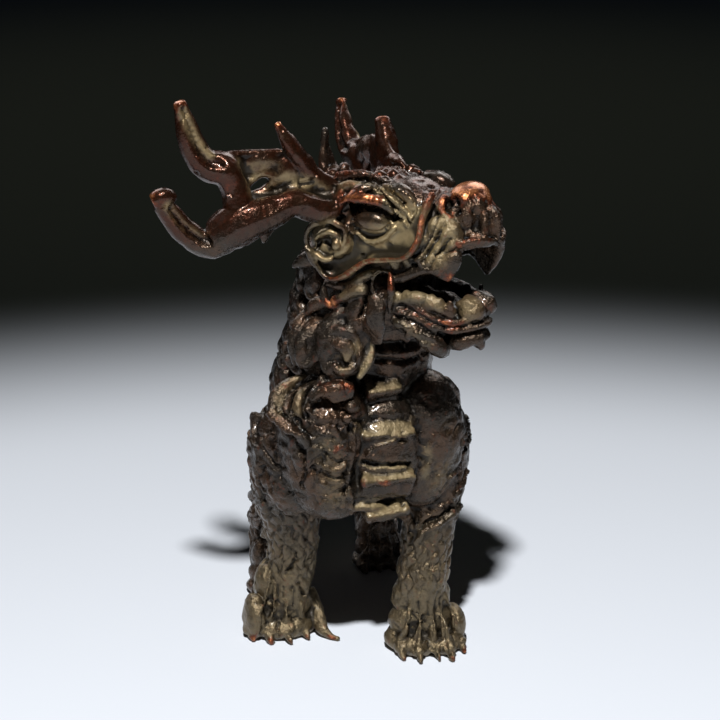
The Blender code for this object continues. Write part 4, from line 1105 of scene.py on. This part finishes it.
# Of each part: its corners, how many strokes, their length, width and depth in millimetres
STROKES = (
    ((-18, -22, 31), (-5, -8, 50), 200, 1.8, 0.28, 0.32),
    ((8, -20, 28), (19, -8, 50), 90, 2.4, 0.28, 0.22),
    ((-5, -22, 29), (8, -14, 52), 60, 2, 0.25, 0.2),
    ((-20, -8, 28), (-14, 6, 48), 80, 2.6, 0.32, 0.32),
    ((-15, -21, 50), (0, -4, 72), 110, 2.2, 0.28, 0.35),
    ((-19, -8, 5), (-4, 8, 34), 90, 2.2, 0.3, 0.25),
    ((4, -22, 5), (19, -4, 28), 90, 2.2, 0.3, 0.25),
    ((-21, -9, 0), (-3, 8, 10), 50, 2, 0.22, 0.2),
    ((3, -22, 0), (20, -6, 10), 50, 2, 0.22, 0.2),
    ((-12, -22, 84), (14, -2, 92), 50, 1.8, 0.3, 0.3),
    ((-2, -30, 60), (18, -14, 72), 60, 2, 0.3, 0.3),
    ((-14, -2, 18), (18, 37, 58), 160, 2.8, 0.4, 0.35),
)
for corner, opposite, amount, length, width, depth in STROKES:
    inside = np.all(
        (points > np.array(corner) * UNIT) & (points < np.array(opposite) * UNIT), axis=1,
    ).nonzero()[0]
    for i in rng.choice(inside, amount):
        across = Vector(normals[i]).orthogonal().normalized()
        along = Matrix.Rotation(rng.uniform(0, pi), 3, Vector(normals[i])) @ across
        half = along * rng.uniform(0.3, 1) * length / 2
        spot = Vector(points[i]) / UNIT
        engrave(
            BODY, (spot - half, spot + half), width * rng.uniform(0.7, 1.4), depth * rng.uniform(-0.8, 1),
        )
print(sum(part[2] for part in STROKES), "strokes")

# %% Casting pits
PITS = 420
for i in rng.integers(0, len(points), PITS):
    spot = Vector(points[i]) / UNIT
    punch(BODY, spot, rng.uniform(0.25, 0.6), rng.uniform(0.1, 0.35))
points += normals * move[:, None]
casting.data.vertices.foreach_set("co", points.ravel())
casting.data.update()
print(PITS, "pits pressed in")

# %% [markdown]
# ## A crude skin
# Small castings of this kind were made quickly. The wax was lumpy, the mould sandy, and the file left flats.
# Three soft noises give that unevenness, from one as broad as a fingertip's mark to one as fine as sand.

# %% Unevenness
# Centre and reach of what was rubbed smooth and keeps less of the crude skin: the cheeks, the brows, the
# ears, the leaf, the nose and the crown
CALM = (
    ((1.5, 8.6, -3.2), 7.5), ((0.2, 9, 1.5), 6), ((-6.5, 9.6, -6), 6), ((5, 8, 3.5), 4),
    ((14.5, 0, 5.6), 3.5), ((1, 0.1, 6.2), 6),
)


def calm_at(places, shift):
    """1 where the skin is smooth and 0 where it is crude."""
    calm = np.zeros(len(places))
    for out in SIDES:
        for centre, reach in CALM:
            spot = np.array(HEAD @ Vector((centre[0], out * centre[1], centre[2]))) + shift
            calm = np.maximum(calm, np.exp(-(((places - spot) ** 2).sum(1) / (reach * UNIT) ** 2) ** 3))
    return calm


calm = calm_at(points, np.zeros(3))
# The right antler lies beyond this x and above this height, and it is smooth too
ANTLER_X, ANTLER_Z = -14, 80
on_antler = (points[:, 0] < ANTLER_X * UNIT) & (points[:, 2] > ANTLER_Z * UNIT)
calm = np.where(on_antler, np.maximum(calm, 0.8), calm)
casting.vertex_groups.new(name="crude")
level = np.round((1 - 0.9 * calm) * 10).astype(int)
for step in range(1, 11):
    casting.vertex_groups["crude"].add((level == step).nonzero()[0].tolist(), step / 10, "REPLACE")
# Name, kind of noise, breadth and height in metres of each layer
SKINS = (
    ("wax", "CLOUDS", 0.0040, 0.0006),
    ("mould", "STUCCI", 0.0018, 0.0002),
    ("sand", "CLOUDS", 0.0009, 0.0001),
)
for name, kind, breadth, height in SKINS:
    texture = bpy.data.textures.new(name, kind)
    texture.noise_scale = breadth
    uneven = casting.modifiers.new(name, "DISPLACE")
    uneven.texture = texture
    uneven.texture_coords = "LOCAL"
    uneven.strength = height
    uneven.mid_level = 0.5
    uneven.vertex_group = "crude"
    bpy.ops.object.modifier_apply(modifier=uneven.name)
print(len(SKINS), "layers of unevenness")

# %% Thin it
# Flat places need few triangles, so most of those that stay are in the carving
TRIANGLES = 190000
thin = casting.modifiers.new("Thin", "DECIMATE")
thin.ratio = min(1, TRIANGLES / (2 * len(casting.data.polygons)))
thin.use_collapse_triangulate = True
bpy.ops.object.modifier_apply(modifier=thin.name)
mesh = casting.data
edges = np.empty(len(mesh.edges) * 2, dtype=np.int64)
mesh.edges.foreach_get("vertices", edges)
edges = edges.reshape(-1, 2)
ends = np.concatenate((edges[:, 0], edges[:, 1]))
others = np.concatenate((edges[:, 1], edges[:, 0]))
count = np.bincount(ends, minlength=len(mesh.vertices)).astype(float)


def spread(values, rounds):
    """Averages values over the neighbours, again and again."""
    for _ in range(rounds):
        values = np.stack([np.bincount(ends, v[others], len(count)) / count for v in values.T], axis=1)
    return values


def hollowness(rounds):
    """Millimetres that the smoothed skin lies outside the real one."""
    return ((spread(points.astype(float), rounds) - points) * normals).sum(1) * 1000


print(len(mesh.polygons), "triangles")

# %% [markdown]
# ## Crisp again
# Melting and smoothing have rounded every fold a little. The chaser's last pass makes them crisp again: it
# presses each fine hollow a little deeper and lets each edge stand a little prouder.

# %% Last pass of the chaser
# In millimetres, how far one pass may raise a point or press it in
RAISED, PRESSED = 0.14, 0.22
for rounds, strength in ((8, 0.13), (28, 0.24)):
    points, normals = surface()
    depth = np.clip(hollowness(rounds) * strength, -RAISED, PRESSED)[:, None].astype(np.float32)
    points -= normals * depth / 1000
    mesh.vertices.foreach_set("co", points.ravel())
    mesh.update()
print("edges crisp")

# %% Stand it on the ground
middle = (points.min(0) + points.max(0)) / 2
points[:, :2] -= middle[:2]
points[:, 2] = np.maximum(points[:, 2], 0)
room = np.array([list(low), list(high)])
size = points.max(0) - points.min(0)
points[:, :2] *= np.minimum(1, (room[1] - room[0])[:2] / size[:2])
points[:, 2] *= min(1, room[1][2] / points[:, 2].max())
mesh.vertices.foreach_set("co", points.ravel())
mesh.update()
mesh.shade_smooth()
print([round(float(v) * 1000, 1) for v in points.max(0) - points.min(0)], "mm")

# %% [markdown]
# ## Hollows and worn edges
# Dirt stays where a finger can't reach and metal shines where it does, and the hollows are painted dark as
# shade. Both can be measured: smooth the skin and see on which side of the old surface the new one lies.
# Where it lies outside there was a hollow, and where it lies inside there was an edge. Few rounds of
# smoothing find fine lines, many find deep folds.

# %% Measure hollows and edges
points, normals = surface()
fine = hollowness(4)
broad = hollowness(50)
print("fine hollows to", round(float(fine.max()), 2), "mm, broad ones to", round(float(broad.max()), 2))


def store(name, values):
    """Keeps a mask from 0 to 1 on the skin, for the material to read."""
    layer = mesh.attributes.new(name, "FLOAT", "POINT")
    layer.data.foreach_set("value", np.clip(values, 0, 1).astype(np.float32))


# How deep a fine line, a fine edge and a broad fold are when they count in full, in millimetres
FINE_LINE, FINE_EDGE, BROAD_FOLD = 0.12, 0.09, 0.9
# This mask paints the fine and broad hollows dark as shade
crevice_shade = np.clip(fine / FINE_LINE, 0, 1) * 0.6 + np.clip(broad / BROAD_FOLD, 0, 1) * 0.6
store("edge", np.clip(-fine / FINE_EDGE, 0, 1) * 0.75 + np.clip(-broad / BROAD_FOLD, 0, 1) * 0.35)

# %% Where hands and cloths have rubbed it, and a painted highlight
SHIFT = np.array((-middle[0], -middle[1], 0))


def close_to(place, path, reach):
    """1 at the path and less away from it; reach in millimetres."""
    line = [place @ Vector(p) for p in path] if len(path) == 1 else curve_points(place, path, 6)
    gap = np.full(len(points), np.inf)
    for spot in line:
        gap = np.minimum(gap, ((points - np.array(spot) - SHIFT) ** 2).sum(1))
    return np.exp(-gap / (reach * UNIT) ** 2)


NEAR_RIM = [(f, -out - 0.8, up) for f, out, up in RIM]
# Frame, path, reach and strength of each rubbed place; the one on the scroll lock is a painted highlight
RUBBED_AND_GLINT = (
    (HEAD, ((12.2, -2.6, 6), (14.2, -0.8, 6.9), (16.4, 0.2, 5)), 2.5, 0.8),
    (HEAD, ((11.8, -4, 5.4), (13.4, -3.9, 5.5), (15.4, -3.2, 5.3)), 1.2, 0.75),
    (HEAD, ((11.4, -4.8, 4), (11.8, -5.4, 2.5), (13.2, -5.2, 1.7)), 0.7, 0.7),
    (HEAD, ((-6.4, -9.6, 1.4), (-4.4, -10.6, 3.4), (-1.2, -10.6, 4.4), (2, -9.8, 4)), 1.5, 0.45),
    (HEAD, ((-5.8, -9.6, 3.4), (-2.6, -9.6, 5.4)), 1.4, 0.4),
    (HEAD, NEAR_RIM[:5], 0.7, 0.55),
    (HEAD, NEAR_RIM[4:11], 0.7, 0.45),
    (
        HEAD,
        ((13.4, -6.6, -4.4), (14.4, -6.2, -3.2), (15.9, -5.6, -2), (17.6, -4.4, -1.5), (18.9, -2.8, -1.8)),
        0.6, 0.42,
    ),
    (HEAD, ((6.8, -8.6, -13.9), (9.4, -8, -14.6), (12, -6.6, -16.2), (14.4, -5, -16.8)), 0.9, 0.36),
    (HEAD, ((-6.3, -10, -14.4),), 1.2, 1),
    (HEAD, ((13.5, -6.6, -7.6), (13.5, -6.4, -8.6)), 0.9, 0.6),
    (HEAD, ((-7.4, -7.4, 7), (-3.2, -6.4, 7.5), (0.2, -5.4, 6.9)), 0.8, 0.3),
    (HEAD, ((4.2, -9.6, -8.3), (4.6, -9.9, -10.4)), 0.7, 0.4),
    (BODY, ((-5, -20.2, 36.6),), 1.2, 0.5),
    (BODY, ((0.2, -20.4, 36.3),), 1.1, 0.45),
    # A painted highlight: the scroll lock on the breast is made brighter, as if lit
    (BODY, ((-10.4, -18.6, 54), (-8, -19.4, 54.8), (-5.8, -20.2, 54.8)), 0.8, 0.35),
    (BODY, ((-8.6, -19.6, 44), (-6.4, -20.4, 42.6)), 1, 0.32),
)


def strongest(values, spots):
    """The values, or more near each spot's path; a spot is its frame, path, reach and strength."""
    for place, path, reach, strength in spots:
        values = np.maximum(values, strength * close_to(place, path, reach))
    return values


wear_and_glint = strongest(np.zeros(len(points)), RUBBED_AND_GLINT)
for at, toes in FOREPAWS:
    claws = [(at[0] + 1.05 * x, at[1] + 1.03 * reach - 1.6, 0.8) for x, reach in toes]
    wear_and_glint = strongest(wear_and_glint, [(BODY, (claw,), 1, 0.6) for claw in claws])
wear_and_glint = strongest(wear_and_glint, [(BODY, ((-5.2, -5.6, 0.6),), 1, 0.7)])
antler = np.zeros(len(points))
for place, spike in ANTLERS:
    path = ((0, 0, 0), (8, 0, 1), (16, 0, 0), (26, 0, -2), (30, 0, 0.4))
    for line in (path, UPPER_TINE, spike[0]):
        gap = -np.log(np.maximum(close_to(place, line, 5.5), 1e-9))
        antler = np.maximum(antler, np.exp(-(gap**3)))
    tips = (UPPER_TINE[-1], spike[0][-1], (30, 0.2, 0.4))
    wear_and_glint = strongest(wear_and_glint, [(place, (tip,), 1.6, 0.6) for tip in tips])
store("wear_and_glint", wear_and_glint)
# The legs get paler from this height down, in full in front of this y; behind it the hind legs stay dark as
# painted shade
LEG_HEIGHT, HIND_SHADE_BEGINS, FADE = 34, 0.010, 0.006
unshaded_front = np.clip((HIND_SHADE_BEGINS - points[:, 1]) / FADE, 0.15, 1)
store("paw", (1 - points[:, 2] / (LEG_HEIGHT * UNIT)) * unshaded_front)
store("calm", np.maximum(calm_at(points, SHIFT), 0.85 * antler))
print("rubbed places:", len(RUBBED_AND_GLINT))

# %% Where the dirt lies, and a painted sheen on the muzzle
flat = np.clip((normals[:, 2] - 0.1) / 0.5, 0, 1)
# Frame, path, reach and strength of each dirty place; the one on the side of the muzzle is a painted sheen
DIRT_AND_SHEEN = (
    (HEAD, ((-3.4, -9.4, -6.6), (1, -9, -4.4), (5, -8.6, -2.8), (7.6, -8.2, 0.6)), 4, 1.1),
    (HEAD, ((-6.6, -10, -7.6), (-8.4, -10.4, -4), (-7, -10.4, -1)), 2.8, 0.75),
    (HEAD, ((-0.4, -9.6, -2.8), (2.8, -9.4, -2)), 1, 0.7),
    (HEAD, ((1.6, -8.6, 5.2), (4.6, -8.6, 3.8), (7, -8.2, 1.4)), 2.2, 0.6),
    (HEAD, ((-5, -8.6, 5.6), (-1, -8, 6.4)), 1.6, 0.6),
    # A painted sheen: the side of the muzzle is made lighter and olive, as if it caught the light
    (HEAD, ((10.8, -7.2, 1.6), (12.6, -6.4, -1), (11.4, -7, -4)), 3, 0.95),
    (HEAD, ((5, -8.4, -12), (9, -7.8, -11.6), (12, -6.6, -13)), 1.6, 0.75),
    (HEAD, ((15.6, -3, -13.8),), 2.8, 0.8),
    (HEAD, ((-1, -9.6, -11.6), (-4.4, -9.8, -13)), 1.1, 0.7),
    (BODY, ((-11.6, -12.2, 54.6), (-15.6, -12, 52.6), (-17, -13.6, 49.4)), 1.8, 0.5),
    (BODY, ((-13.6, -14.8, 52.4), (-14.4, -16, 50)), 1.6, 0.6),
    (BODY, ((-5, -19, 61.4), (-6.6, -19.2, 59.6), (-7, -19, 57.6)), 1.6, 0.6),
    (BODY, ((-2.4, -19.4, 61.2), (-3.2, -20, 58.6), (-4.6, -20.2, 56.2)), 0.9, 0.8),
    (BODY, ((8.9, -17.4, 41), (8.6, -17.2, 36)), 1.4, 0.6),
    (BODY, ((12, -15, 46), (13, -15, 40), (11, -15.6, 34)), 3.6, 0.5),
    (BODY, ((-9.6, -18, 44), (-9, -18.6, 38), (-8, -18, 34)), 4, 0.42),
    (HEAD, ((5.6, -9.2, -16.4), (8.2, -8.8, -17.6), (10.4, -7.4, -19.8)), 1.4, 0.42),
)
# Dust lies on top of the scutes
LEDGES = (
    ((-1.6, -18.8, 54), (4, -18.8, 53.6)),
    ((-3, -20, 46.4), (6, -20, 45.8)),
    ((-3.6, -20.6, 38.6), (5.6, -20.4, 38)),
    ((-4, -18.6, 31.8), (3.6, -18.2, 31)),
)
ANTLER_DIRT = (
    (TROUGH, 1.5, 0.85),
    (((9.6, 0.8, 4.8), (13.6, 0.8, 4.6), (14.8, 1, 2.4), (13, 1.2, 0.2)), 1.5, 0.7),
    (((20.6, 1.6, 7.6), (23, 1.2, 10.6), (24.6, 0.8, 14.6)), 1.2, 0.8),
    (((22.4, 1.6, -5.6), (25, 1.6, -3.6), (27.4, 1.4, -0.6)), 1.3, 0.7),
)
dirt_and_sheen = strongest(np.clip(broad / BROAD_FOLD, 0, 1) * 0.5, DIRT_AND_SHEEN)
for path in LEDGES:
    dirt_and_sheen = np.maximum(dirt_and_sheen, (0.45 + 0.65 * flat) * close_to(BODY, path, 2.9))
for place, _ in ANTLERS:
    dirt_and_sheen = strongest(dirt_and_sheen, [(place, *row) for row in ANTLER_DIRT])
store("dirt_and_sheen", dirt_and_sheen)
# The mouth, the underside of the jaw and the throat are painted dark as shade, because no light gets into
# them
SHADY = (
    (HEAD, ((2, 5, -10.5), (7, 6, -11.5), (12, 6, -12.5)), 4.2, 1),
    (HEAD, ((8, -2, -10), (13, 0, -8)), 4, 0.8),
    (BODY, ((4, -16, 57), (5, -16, 61), (6, -15, 65)), 3.6, 0.55),
)
store("crevice_shade", strongest(crevice_shade, SHADY))
store("antler", strongest(antler, [(HEAD, ((-8, 0, 6.4), (0, 0, 7), (8, 0, 4.4)), 5, 0.95)]))
print("dirt laid in", len(DIRT_AND_SHEEN) + len(LEDGES), "places")

# %% [markdown]
# ## Patinated brass
# The metal is cast brass. Its surface has turned to a thin brown-black oxide, waxed and handled until it is
# glossy. The film is so thin that the metal under it still makes the highlights, which take the brown of
# the film, and a thin coat of wax lies over it. In the hollows lies a dry olive-grey dirt, which takes the
# shine away. The hollows, the mouth, the underside of the jaw and the throat are also painted near black as
# shade, the side of the muzzle gets a painted sheen, the scroll lock on the breast a painted highlight, and
# the hind legs keep the dark film as painted shade. Where the edges are rubbed the coppery brass shows.

# %% Colours and nodes


def colour(hex_code):
    """An sRGB hex colour as linear values."""
    parts = [int(hex_code[i : i + 2], 16) / 255 for i in (1, 3, 5)]
    return [p / 12.92 if p <= 0.04045 else ((p + 0.055) / 1.055) ** 2.4 for p in parts] + [1]


def add_node(tree, kind, settings=None, output=0, **inputs):
    """Adds a node and gives its output; an input is a value or another node's output."""
    node = tree.nodes.new(kind)
    for name, value in (settings or {}).items():
        setattr(node, name, value)
    for name, value in inputs.items():
        key = int(name[1:]) if name[0] == "_" else name.replace("_", " ")
        if isinstance(value, bpy.types.NodeSocket):
            tree.links.new(value, node.inputs[key])
        else:
            node.inputs[key].default_value = value
    return node.outputs[output]


NOISE, SPLIT = "ShaderNodeTexNoise", "ShaderNodeTexVoronoi"
MATH, RANGE, MIX = "ShaderNodeMath", "ShaderNodeMapRange", "ShaderNodeMix"
TIMES, PLUS, SCALED = {"operation": "MULTIPLY"}, {"operation": "ADD"}, {"operation": "MULTIPLY_ADD"}
SOFT = {"interpolation_type": "SMOOTHSTEP"}
TINTS = {"data_type": "RGBA"}
patina = bpy.data.materials.new("patinated_cast_brass")
patina.use_nodes = True
tree = patina.node_tree
shader = tree.nodes["Principled BSDF"]
spot = add_node(tree, "ShaderNodeTexCoord", None, "Object")
masks = {}
for name in ("crevice_shade", "edge", "wear_and_glint", "dirt_and_sheen", "antler", "paw", "calm"):
    masks[name] = add_node(tree, "ShaderNodeAttribute", {"attribute_name": name}, "Fac")
print("masks:", ", ".join(masks))

# %% Patina
OXIDE = colour("#362E26")
OXIDE_WARM = colour("#483628")
OXIDE_RED = colour("#3A1D0F")
PAW_BROWN = colour("#6E614A")
# The dirt colour, also used for the painted sheen on the side of the muzzle
DIRT_AND_SHEEN_TINT = colour("#8B7A58")
# Near black, painted into the hollows, the mouth and the throat as shade
SHADE_BLACK = colour("#100D0A")
RED_BROWN = colour("#5E2C18")
COPPER = colour("#A86A42")
PALE_BRASS = colour("#A5926C")
cloudy = add_node(tree, NOISE, None, "Fac", Vector=spot, Scale=1000 / 6.0, Detail=4.0, Roughness=0.55)
mottle = add_node(tree, NOISE, None, "Fac", Vector=spot, Scale=1000 / 1.6, Detail=5.0, Roughness=0.6)
speck = add_node(tree, NOISE, None, "Fac", Vector=spot, Scale=1000 / 0.45, Detail=3.0, Roughness=0.7)
share = add_node(tree, RANGE, SOFT, _0=cloudy, _1=0.42, _2=0.66)
film = add_node(tree, MIX, TINTS, 2, _0=share, _6=OXIDE, _7=OXIDE_WARM)
share = add_node(tree, RANGE, SOFT, _0=mottle, _1=0.1, _2=0.6)
share = add_node(tree, MATH, TIMES, _0=masks["antler"], _1=share)
film = add_node(tree, MIX, TINTS, 2, _0=share, _6=film, _7=OXIDE_RED)
# Pale low on the legs, while the hind legs keep the dark film as painted shade
pale_low_hind_shaded = add_node(tree, RANGE, SOFT, _0=masks["paw"], _1=0.0, _2=0.8)
share = add_node(tree, RANGE, SOFT, _0=mottle, _1=0.1, _2=0.6)
share = add_node(tree, MATH, TIMES, _0=pale_low_hind_shaded, _1=share)
film = add_node(tree, MIX, TINTS, 2, _0=share, _6=film, _7=PAW_BROWN)
print("the oxide film")

# %% Dirt, a painted sheen, and painted shade in the hollows
patchy = add_node(tree, MATH, SCALED, _0=mottle, _1=0.5, _2=-0.25)
patchy = add_node(tree, MATH, SCALED, _0=speck, _1=0.3, _2=patchy)
# This mask holds the dirt and also the painted sheen on the side of the muzzle
dirt_and_sheen_share = add_node(tree, MATH, PLUS, _0=masks["dirt_and_sheen"], _1=patchy)
dirt_and_sheen_share = add_node(tree, RANGE, SOFT, _0=dirt_and_sheen_share, _1=0.3, _2=1.1)
share = add_node(tree, MATH, TIMES, _0=masks["calm"], _1=0.8)
dust_and_sheen = add_node(tree, MIX, TINTS, 2, _0=share, _6=DIRT_AND_SHEEN_TINT, _7=PALE_BRASS)
share = add_node(tree, MATH, TIMES, _0=dirt_and_sheen_share, _1=0.85)
skin = add_node(tree, MIX, TINTS, 2, _0=share, _6=film, _7=dust_and_sheen)
# The hollows, the mouth, the underside of the jaw and the throat get painted shade, near black
share = add_node(tree, RANGE, SOFT, _0=masks["crevice_shade"], _1=0.15, _2=0.95)
share = add_node(tree, MATH, TIMES, _0=share, _1=0.9)
skin = add_node(tree, MIX, TINTS, 2, _0=share, _6=skin, _7=SHADE_BLACK)
# What this prints as soot is painted shade
print("dirt and soot in the hollows")

# %% Rubbed metal, with a painted highlight on the scroll lock
# This mask holds the rubbed metal and also the painted highlight on the scroll lock of the breast
rubbed_and_glint = add_node(tree, MATH, SCALED, _0=masks["edge"], _1=0.6, _2=0.65)
rubbed_and_glint = add_node(tree, MATH, TIMES, _0=rubbed_and_glint, _1=masks["wear_and_glint"])
rubbed_and_glint = add_node(tree, MATH, SCALED, _0=masks["edge"], _1=0.13, _2=rubbed_and_glint)
broken = add_node(tree, MATH, SCALED, _0=mottle, _1=1.5, _2=-1.15)
broken = add_node(tree, MATH, SCALED, _0=speck, _1=0.8, _2=broken)
rubbed_and_glint = add_node(tree, MATH, PLUS, _0=rubbed_and_glint, _1=broken)
rubbed_and_glint = add_node(tree, RANGE, SOFT, _0=rubbed_and_glint, _1=0.08, _2=1.15)
share = add_node(tree, RANGE, SOFT, _0=rubbed_and_glint, _1=0.0, _2=0.5)
skin = add_node(tree, MIX, TINTS, 2, _0=share, _6=skin, _7=RED_BROWN)
share = add_node(tree, RANGE, SOFT, _0=rubbed_and_glint, _1=0.35, _2=1.0)
skin = add_node(tree, MIX, TINTS, 2, _0=share, _6=skin, _7=COPPER)
print("rubbed edges")

# %% Gloss and grain
share = add_node(tree, MATH, SCALED, _0=masks["calm"], _1=0.5, _2=-0.6)
clean = add_node(tree, MATH, SCALED, _0=dirt_and_sheen_share, _1=share, _2=1.0)
metal = add_node(tree, MATH, TIMES, _0=clean, _1=0.76)
rough = add_node(tree, MATH, SCALED, _0=mottle, _1=0.32, _2=0.11)
rough = add_node(tree, MATH, SCALED, _0=dirt_and_sheen_share, _1=0.2, _2=rough)
rough = add_node(tree, MATH, SCALED, _0=pale_low_hind_shaded, _1=0.12, _2=rough)
# Casting sand is finer than a pixel of the picture, so its grain is drawn coarser, at 0.3 mm
fine = add_node(tree, NOISE, None, "Fac", Vector=spot, Scale=1000 / 0.3, Detail=2.0, Roughness=0.6)
lumpy = add_node(tree, NOISE, None, "Fac", Vector=spot, Scale=1000 / 1.0, Detail=4.0, Roughness=0.6)
dented = add_node(tree, SPLIT, None, "Distance", Vector=spot, Scale=1000 / 1.5, Detail=1.0)
grain = add_node(tree, MATH, SCALED, _0=fine, _1=0.35, _2=lumpy)
grain = add_node(tree, MATH, SCALED, _0=dented, _1=0.5, _2=grain)
rugged = add_node(tree, MATH, SCALED, _0=masks["calm"], _1=-0.75, _2=1.0)
grain = add_node(tree, MATH, TIMES, _0=grain, _1=rugged)
bumpy = add_node(tree, "ShaderNodeBump", None, "Normal", Strength=0.65, Distance=0.0005, Height=grain)
tree.links.new(skin, shader.inputs["Base Color"])
tree.links.new(metal, shader.inputs["Metallic"])
tree.links.new(rough, shader.inputs["Roughness"])
tree.links.new(bumpy, shader.inputs["Normal"])
shader.inputs["Coat Weight"].default_value = 0.15
shader.inputs["Coat Roughness"].default_value = 0.08
casting.data.materials.clear()
casting.data.materials.append(patina)
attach(casting, "root")
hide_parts(NODE)
print("the casting rides on root and stands for", NODE)

# %% [markdown]
# ## Floor and light
# The figure stands on a plain pale table. One soft lamp above the camera gives it its shadow and most of its
# highlights, as in the photograph, and its pool of light fades out behind the figure. Five weak panels
# around the figure light nothing else and keep the dark metal readable. A faint lamp behind it lights the
# far part of the table alone.

# %% Floor
bpy.ops.object.select_all(action="DESELECT")
bpy.ops.mesh.primitive_plane_add(size=6, location=(0, 0, 0))
floor = bpy.context.object
floor.name = "floor"
paper = bpy.data.materials.new("pale_table")
paper.use_nodes = True
paper.node_tree.nodes["Principled BSDF"].inputs["Base Color"].default_value = colour("#E2E8F2")
paper.node_tree.nodes["Principled BSDF"].inputs["Roughness"].default_value = 0.8
floor.data.materials.append(paper)
print("floor laid")

# %% Lamps
KEY_DISTANCE, PANEL_DISTANCE = 0.62, 0.6
POOL_MIDDLE = Vector((-0.057, -0.19, 0))
bpy.ops.object.light_add(type="SPOT", location=CENTRE + direction(-24, 55) * KEY_DISTANCE)
key = bpy.context.object
look_at(key, POOL_MIDDLE)
key.data.energy = 22
key.data.spot_size = radians(61.5)
key.data.spot_blend = 0.4
key.data.shadow_soft_size = 0.018
key.data.color = (1.0, 0.99, 0.97)
# The panels light the figure alone, so the pool of light on the table keeps its dark end
figure = bpy.data.collections.new("lit by the panels")
figure.objects.link(casting)
PANELS = (
    (-105, 30, 0.10, 0.25), (75, 35, 0.03, 0.25), (135, 40, 1.5, 0.35), (-165, 40, 1.5, 0.35),
    (-70, -12, 0.06, 0.3),
)
for azimuth, elevation, power, width in PANELS:
    bpy.ops.object.light_add(type="AREA", location=CENTRE + direction(azimuth, elevation) * PANEL_DISTANCE)
    panel = bpy.context.object
    look_at(panel, CENTRE)
    panel.data.energy = power
    panel.data.size = width
    panel.light_linking.receiver_collection = figure
FAR_SPOT = Vector((0.17, 0.46, 0))
bpy.ops.object.light_add(type="SPOT", location=FAR_SPOT + Vector((0, 0, 1)))
far = bpy.context.object
look_at(far, FAR_SPOT)
far.data.energy = 0.38
far.data.spot_size = radians(62)
far.data.spot_blend = 1.0
far.data.color = (1.0, 1.0, 0.55)
ground = bpy.data.collections.new("lit by the far lamp")
ground.objects.link(floor)
far.light_linking.receiver_collection = ground
world = bpy.data.worlds.new("room")
bpy.context.scene.world = world
world.use_nodes = True
world.node_tree.nodes["Background"].inputs["Color"].default_value = colour("#080A0C")
world.node_tree.nodes["Background"].inputs["Strength"].default_value = 1.0
bpy.context.scene.view_settings.view_transform = "Standard"
print("two lamps and", len(PANELS), "panels")
